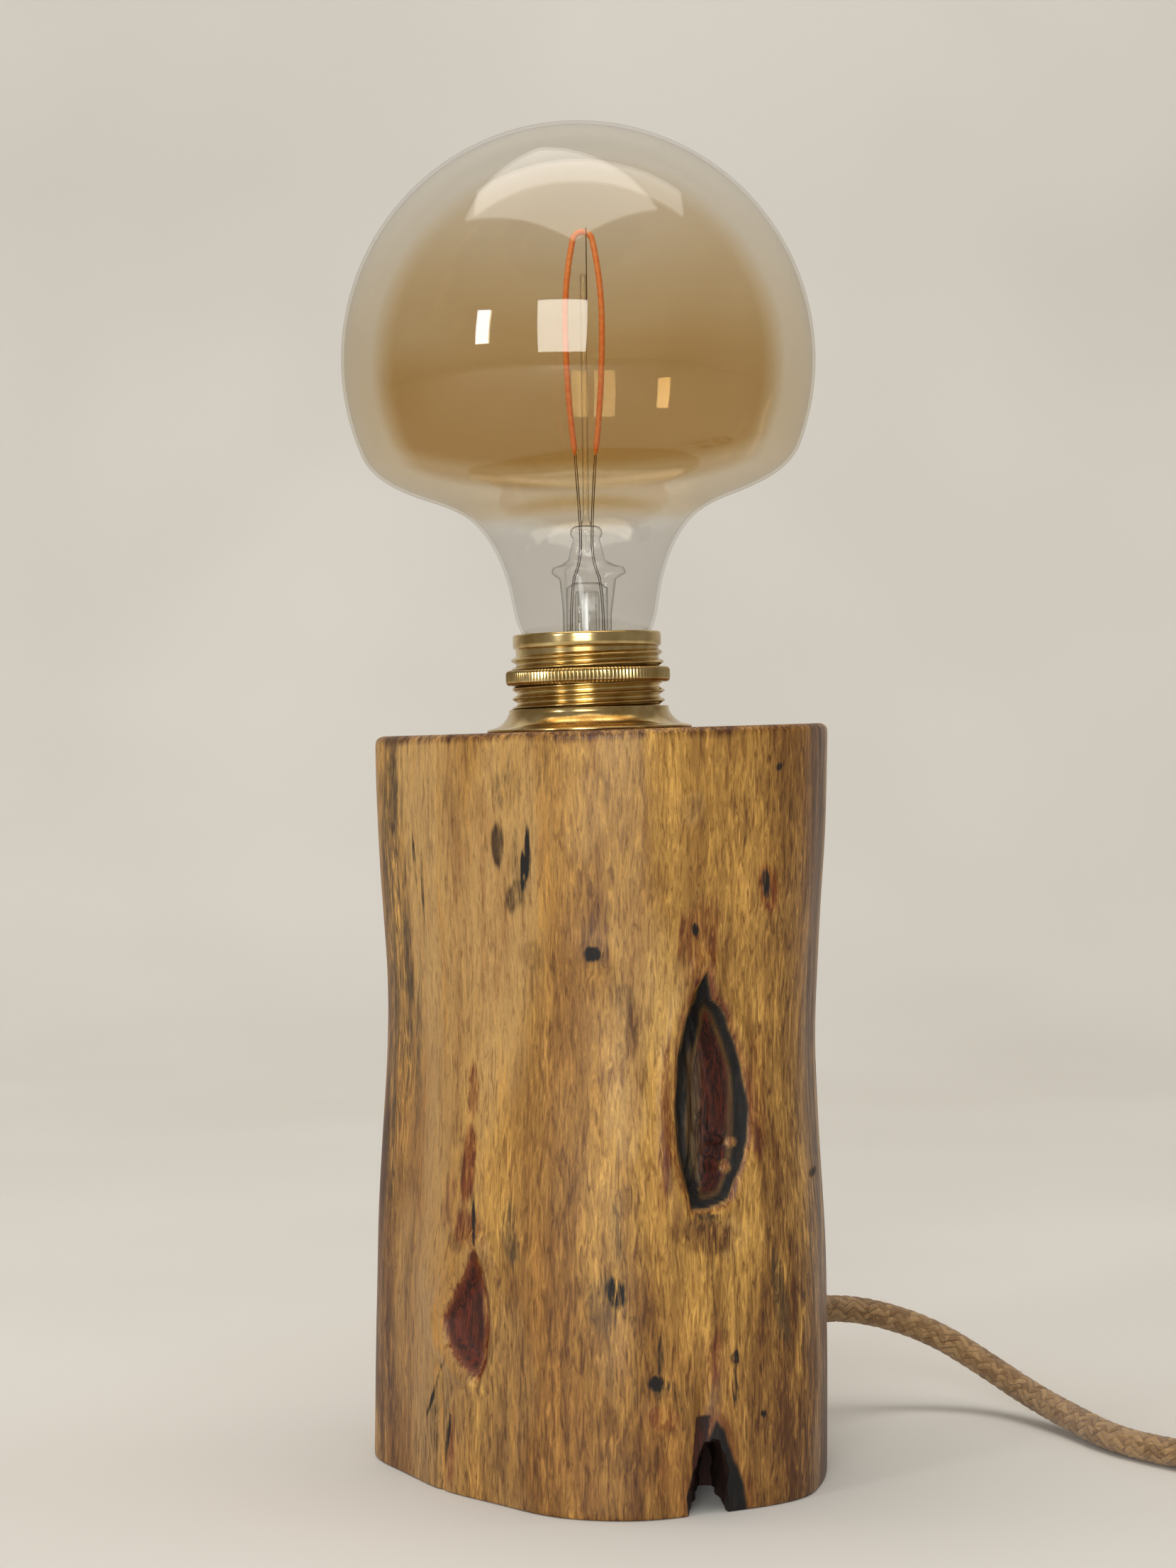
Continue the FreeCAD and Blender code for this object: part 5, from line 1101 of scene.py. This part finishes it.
def cap_shape(radius, height, angle):
    """Rolled thread of the screw cap."""
    crest, turn = rolled_thread(height, angle, CAP_START, CAP_PITCH)
    fade = ease(-0.05, 0.15, turn)
    fade *= ease(CAP_TURNS + 0.05, CAP_TURNS - 0.15, turn)
    wall = (radius > 12.05) & (height < 8.5)
    return np.where(wall, radius + 1.1 * crest * fade, radius)


cap_profile = (
    [(9.4, -8.1), (9.4, -8.5)]
    + arc((11.5, -7.9), 0.6, -90, 0, 4)
    + [(12.1, h) for h in np.arange(-7.7, 8.01, 0.2)]
    + [(12.9, 8.7), (13.1, 9), (13.1, 14.4), (13.0, 14.6), (12.75, 14.6), (12.7, 9.3)]
    + [(11.7, 8.3), (11.7, -7.7), (11.4, -8.1)]
)
cap = lathe("screw_cap", cap_profile, SEAT, 128, sharp=45, shape=cap_shape)
place_of(cap, CAP_METAL, "bulb", "cap_metal", "bulb_cap")

NECK = [
    (12.2, 10.6), (12.6, 15.2), (14.5, 19.8), (16.4, 24.4), (17.9, 27.9), (19.5, 35.3),
    (21.4, 42.7), (24.8, 50.1), (30.3, 56.4), (40.5, 61.3), (49.2, 65),
]
DOME_R, DOME_Z, DOME_FOOT, WALL = 61.9, 96.5, 73.0, 0.8


def smooth_through(points, start, end, count):
    """A cubic curve through points, with given directions at its two ends."""
    points = np.array(points, float)
    way = way_along(points)
    n = len(points)
    gaps = np.diff(way)
    left = np.eye(n)
    right = np.zeros((n, 2))
    right[0], right[-1] = start, end
    for k in range(1, n - 1):
        a, b = gaps[k - 1], gaps[k]
        left[k, k - 1 : k + 2] = (b, 2 * (a + b), a)
        right[k] = 3 * (b * (points[k] - points[k - 1]) / a + a * (points[k + 1] - points[k]) / b)
    slope = np.linalg.solve(left, right)
    result = []
    for s in np.linspace(0, way[-1], count):
        k = min(int(np.searchsorted(way, s, side="right")) - 1, n - 2)
        h = gaps[k]
        t = (s - way[k]) / h
        result.append(
            (2 * t**3 - 3 * t**2 + 1) * points[k]
            + (t**3 - 2 * t**2 + t) * h * slope[k]
            + (3 * t**2 - 2 * t**3) * points[k + 1]
            + (t**3 - t**2) * h * slope[k + 1]
        )
    return np.array(result)


def glass_profile():
    lean = math.asin((DOME_FOOT - DOME_Z) / DOME_R)
    join = (DOME_R * math.cos(lean), DOME_FOOT)
    onward = np.array((-math.sin(lean), math.cos(lean)))
    start = np.array((0.4, 4.6)) / math.hypot(0.4, 4.6)
    lower = smooth_through(NECK + [join], start, onward, 90)
    turns = np.linspace(lean, math.pi / 2 - 0.002, 72)[1:]
    upper = np.stack([DOME_R * np.cos(turns), DOME_Z + DOME_R * np.sin(turns)], axis=1)
    outer = np.concatenate([lower, upper])
    tangent = np.gradient(outer, axis=0)
    tangent /= np.linalg.norm(tangent, axis=1)[:, None]
    inner = outer + np.stack([-tangent[:, 1], tangent[:, 0]], axis=1) * WALL
    inner[:, 0] = np.maximum(inner[:, 0], 0.05)
    return outer, inner


def bulb_piece():
    """The glass as an outer and an inner skin, closed at the neck's foot and at the top."""
    outer, inner = glass_profile()
    profile = np.concatenate([inner[::-1], outer])
    columns = 192
    piece = lathe("bulb_glass_blown", profile, SEAT, columns, closed=False, sharp=70)
    height = np.repeat(profile[:, 1], columns)
    # the coat is thickest just above the neck and thins towards the top
    amount = ease(53.5, 58.5, height) * (1.0 - 0.74 * ease(76, 156, height))
    write_values(piece, coat=amount, neck=ease(60, 50, height))
    return piece


bulb = bulb_piece()
place_of(bulb, AMBER, "bulb", "amber_glass", "bulb_glass")

STEM_OUTSIDE = [
    (11.1, 10.8), (9.6, 12.2), (8.4, 14.2), (7.2, 17), (6.55, 19.4), (6.35, 22), (6.35, 30),
    (6.35, 39.6), (6.1, 41.2), (5.4, 42.6), (4.2, 43.4), (3.3, 44.6), (3.05, 46), (3.05, 49),
    (3.3, 50), (3.9, 50.6), (4.2, 51.4), (4.1, 52.3), (3.6, 53), (2.8, 53.4), (0.1, 53.4),
]
STEM_INSIDE = [
    (0.1, 38.6), (3.6, 38.5), (5.45, 37.2), (5.45, 30), (5.45, 21), (6.2, 18), (7.3, 14.6),
    (10.4, 10.8),
]


def pinch(radius, height, angle):
    """The stem's top is pressed flat where the wires pass, with two uneven shoulders."""
    press = ease(39.5, 43.5, height) * ease(50.5, 47.5, height)
    bulge = ease(38.5, 41.0, height) * ease(44.5, 42.0, height)
    across = np.cos(angle) ** 2
    lobed = 0.20 * np.sin(3 * angle + 0.6) + 0.12 * np.sin(5 * angle)
    wide = 1 + press * (0.45 * across - 0.28 * (1 - across)) + bulge * (0.28 * across + lobed)
    return np.where(radius > 1.2, radius * wide, radius)


stem = lathe("stem_glass_blown", STEM_OUTSIDE + STEM_INSIDE, STEM, 64, sharp=60, shape=pinch)
place_of(stem, CLEAR, "bulb", "clear_glass", "stem_glass")
exhaust = lathe(
    "exhaust_tube_drawn",
    [(2.45, 2), (3.25, 2), (3.25, 12), (3.25, 24), (3.25, 34.8), (2.9, 36.2), (2.45, 36.3), (2.45, 20)],
    STEM,
    48,
    sharp=50,
)
place_of(exhaust, CLEAR, "bulb", "clear_glass", "exhaust_tube")
rod = lathe(
    "glass_rod",
    [(0.05, 53.4), (1.6, 53.4), (1.2, 54.2), (0.85, 55.6)]
    + [(0.8, h) for h in np.linspace(57, 118.6, 18)]
    + [(0.7, 119.1), (0.4, 119.4), (0.05, 119.45)],
    STEM,
    24,
    closed=False,
)
place_of(rod, ROD_CLEAR, "bulb", "clear_glass", "support_rod")


def line_through(points, step=0.4, rounds=0):
    """A dense line through corner points in millimetres, with its corners eased."""
    points = np.array(points, float)
    for _ in range(rounds):
        eased = [points[0]]
        for a, b in zip(points[:-1], points[1:]):
            eased += [a * 0.75 + b * 0.25, a * 0.25 + b * 0.75]
        points = np.array(eased + [points[-1]])
    dense, _ = resampled(points, step)
    return dense


def filament_line():
    """One hairpin: two long shallow bows joined by a tight bend."""
    foot, top, low, wide, belly, tight = 72, 130.4, 2.65, 4.8, 107, 2.6
    rise = top - tight - belly
    upper = (rise**2 + wide**2 - tight**2) / (2 * (wide - tight))
    lower = ((belly - foot) ** 2 + (wide - low) ** 2) / (2 * (wide - low))
    swing = math.atan2(rise, upper - wide)
    drop = math.asin((belly - foot) / lower)
    half = []
    for x, z, radius, angles in (
        (wide - lower, belly, lower, np.linspace(-drop, 0, 40)),
        (wide - upper, belly, upper, np.linspace(0, swing, 26)[1:]),
        (0, top - tight, tight, np.linspace(swing, math.pi / 2, 10)[1:]),
    ):
        half += [(x + radius * math.cos(a), z + radius * math.sin(a)) for a in angles]
    return np.array([(x, 0, z) for x, z in half] + [(-x, 0, z) for x, z in half[-2::-1]])


filament_way, at = resampled(filament_line(), 0.5)
end = np.minimum(at, at[-1] - at)
swollen = 1 + 0.035 * np.sin(at * 2.1) + 0.02 * np.sin(at * 5.3)
thick = 0.8 * (0.42 + 0.58 * ease(0, 2.2, end)) * swollen
filament = tube_piece("filament_hairpin", moved(filament_way, STEM), thick * MM, 14)
place_of(facing_out(filament), FILAMENT, "bulb", "filament", "led_filament")


def hook_line():
    """The wire that stands on the glass rod and hooks over the filament's bend."""
    top, x, hook = 130.4, 0.95, 1.15
    climb = [(x, 0, 112), (x, 0, 118), (x, 0, 122), (x, -hook, top - 3), (x, -hook, top)]
    climb = line_through(climb, 0.4, 2)
    turns = np.linspace(math.pi, -1.8, 24)
    over = [(x, hook * math.cos(a), top + hook * math.sin(a)) for a in turns[1:]]
    return np.concatenate([climb, np.array(over)])


hook = tube_piece("hook_wire", moved(hook_line(), STEM), 0.14 * MM, 10)
place_of(facing_out(hook), WIRE, "bulb", "wire", "anchor_wire")
strands = []
for side in (-1, 1):
    for strand in (-1, 1):
        shift = 0.24 * strand
        near = side * 1.5 + shift
        corners = [
            (side * 2.65 + shift, 0, 71.95),
            (near + side * 0.5, 0, 62),
            (near, 0, 53.4),
            (near, 0, 44.5),
            (side * 4.35 + shift, 0, 37.2),
            (side * 4.35 + shift, 0, -1.9),
        ]
        line = moved(line_through(corners, 0.6, 2), STEM)
        strands.append(facing_out(tube_piece("strand", line, 0.13 * MM, 8)))
wires = joined("lead_wire_strands", strands)
place_of(wires, WIRE, "bulb", "wire", "lead_wires")

# ---------------- inside the trunk, switch and plug

inner_line = line_through([LEAD_ROUTE[0], BORE_FOOT, (0.6, 0, 110), (-1.2, 0, 168.4)], 1.5, 3)
inner = tube_piece("inner_lead", inner_line * MM, CORD / 2 * MM, 24)
# a little painted shade, even all round
write_values(inner, yarn=0.5, deep=0.1)
place_of(facing_out(inner), JUTE, "lamp", "jute", "inner_cord")

# the materials of the pieces that keep their plain shape
DRESSED = {
    RUBBER: "cord_bush switch_sleeves plug_sleeve",
    STEEL: "mounting_plate plate_screws insert_screws terminal_screws switch_screws rocker_pin",
    BRASS: "threaded_nipple nipple_nut socket_cup screw_shell"
    " centre_contact terminal_blocks contact_bridge switch_contacts",
    NYLON: "cord_grip",
    CERAMIC: "porcelain_insert",
    CAP_METAL: "bulb_centre_contact",
    BLACK_GLASS: "cap_insulator",
    BOARD: "driver_board",
    PARTS: "driver_parts",
    CORES: "core_wires switch_cores",
    TIE: "coil_tie",
    BLACK: "switch_base switch_cover plug_body",
    COVERS: "pin_covers",
    ROCKER: "switch_rocker",
    NICKEL: "plug_pins",
}
for material, names in DRESSED.items():
    for name in names.split():
        NODES[name].data.materials.clear()
        NODES[name].data.materials.append(material)

# ---------------- the room: floor, backdrop and lights


def backdrop():
    """A pale floor that curves up into a wall."""
    turns = np.linspace(0.1, math.pi / 2, 14)
    line = [(-3.0, 0.0), (-1.0, 0.0), (0.9, 0.0)]
    line += [(0.9 + 0.6 * math.sin(a), 0.6 - 0.6 * math.cos(a)) for a in turns]
    line += [(1.5, 1.5), (1.5, 3.0)]
    across = np.linspace(-3, 3, 5)
    points = np.array([[(x, y, z) for x in across] for y, z in line])
    return mesh_piece("backdrop", points, grid_faces(len(line), len(across), round_columns=False))


s = Shader("pale_paper")
pale = s.mix(s.span(s.noise(3.0, 2), 0.35, 0.65), linear(203, 199, 191), linear(209, 205, 198))
s.surface(Base_Color=pale, Roughness=0.9)
room = backdrop()
room.data.materials.append(s.material)

world = bpy.data.worlds.new("room")
scene.world = world
world.use_nodes = True
sky = world.node_tree.nodes["Background"]
sky.inputs[0].default_value = linear(206, 198, 188)
sky.inputs[1].default_value = 0.42


def light(name, place, target, size, power, colour):
    """A soft rectangular light that faces its target."""
    data = bpy.data.lights.new(name, "AREA")
    data.shape = "RECTANGLE"
    data.size, data.size_y = size
    data.energy = power
    data.color = colour
    lamp = bpy.data.objects.new(name, data)
    scene.collection.objects.link(lamp)
    lamp.location = place
    lamp.rotation_euler = (Vector(target) - Vector(place)).to_track_quat("-Z", "Y").to_euler()
    lamp.visible_camera = False


BULB_MIDDLE = Vector((-0.005, 0, 0.288))
for name, way, size, power, colour in (
    ("window", (-0.124, -0.975, 0.17), (0.8, 0.85), 20, (0.92, 0.97, 1)),
    ("left_window", (-0.70, -0.69, 0.17), (0.22, 0.5), 7, (0.96, 0.98, 1)),
):
    light(name, BULB_MIDDLE + 2 * Vector(way), BULB_MIDDLE, size, power, colour)
light("ceiling", (-0.2, -0.2, 2.2), (0, 0, 0.1), (2.0, 1.6), 26, (1, 0.98, 0.95))
light("wall_wash", (0, 0.2, 2.3), (0, 1.5, 0.5), (2.6, 0.8), 16, (1, 0.98, 0.96))

scene.view_settings.view_transform = "Standard"
scene.cycles.transparent_max_bounces = 32
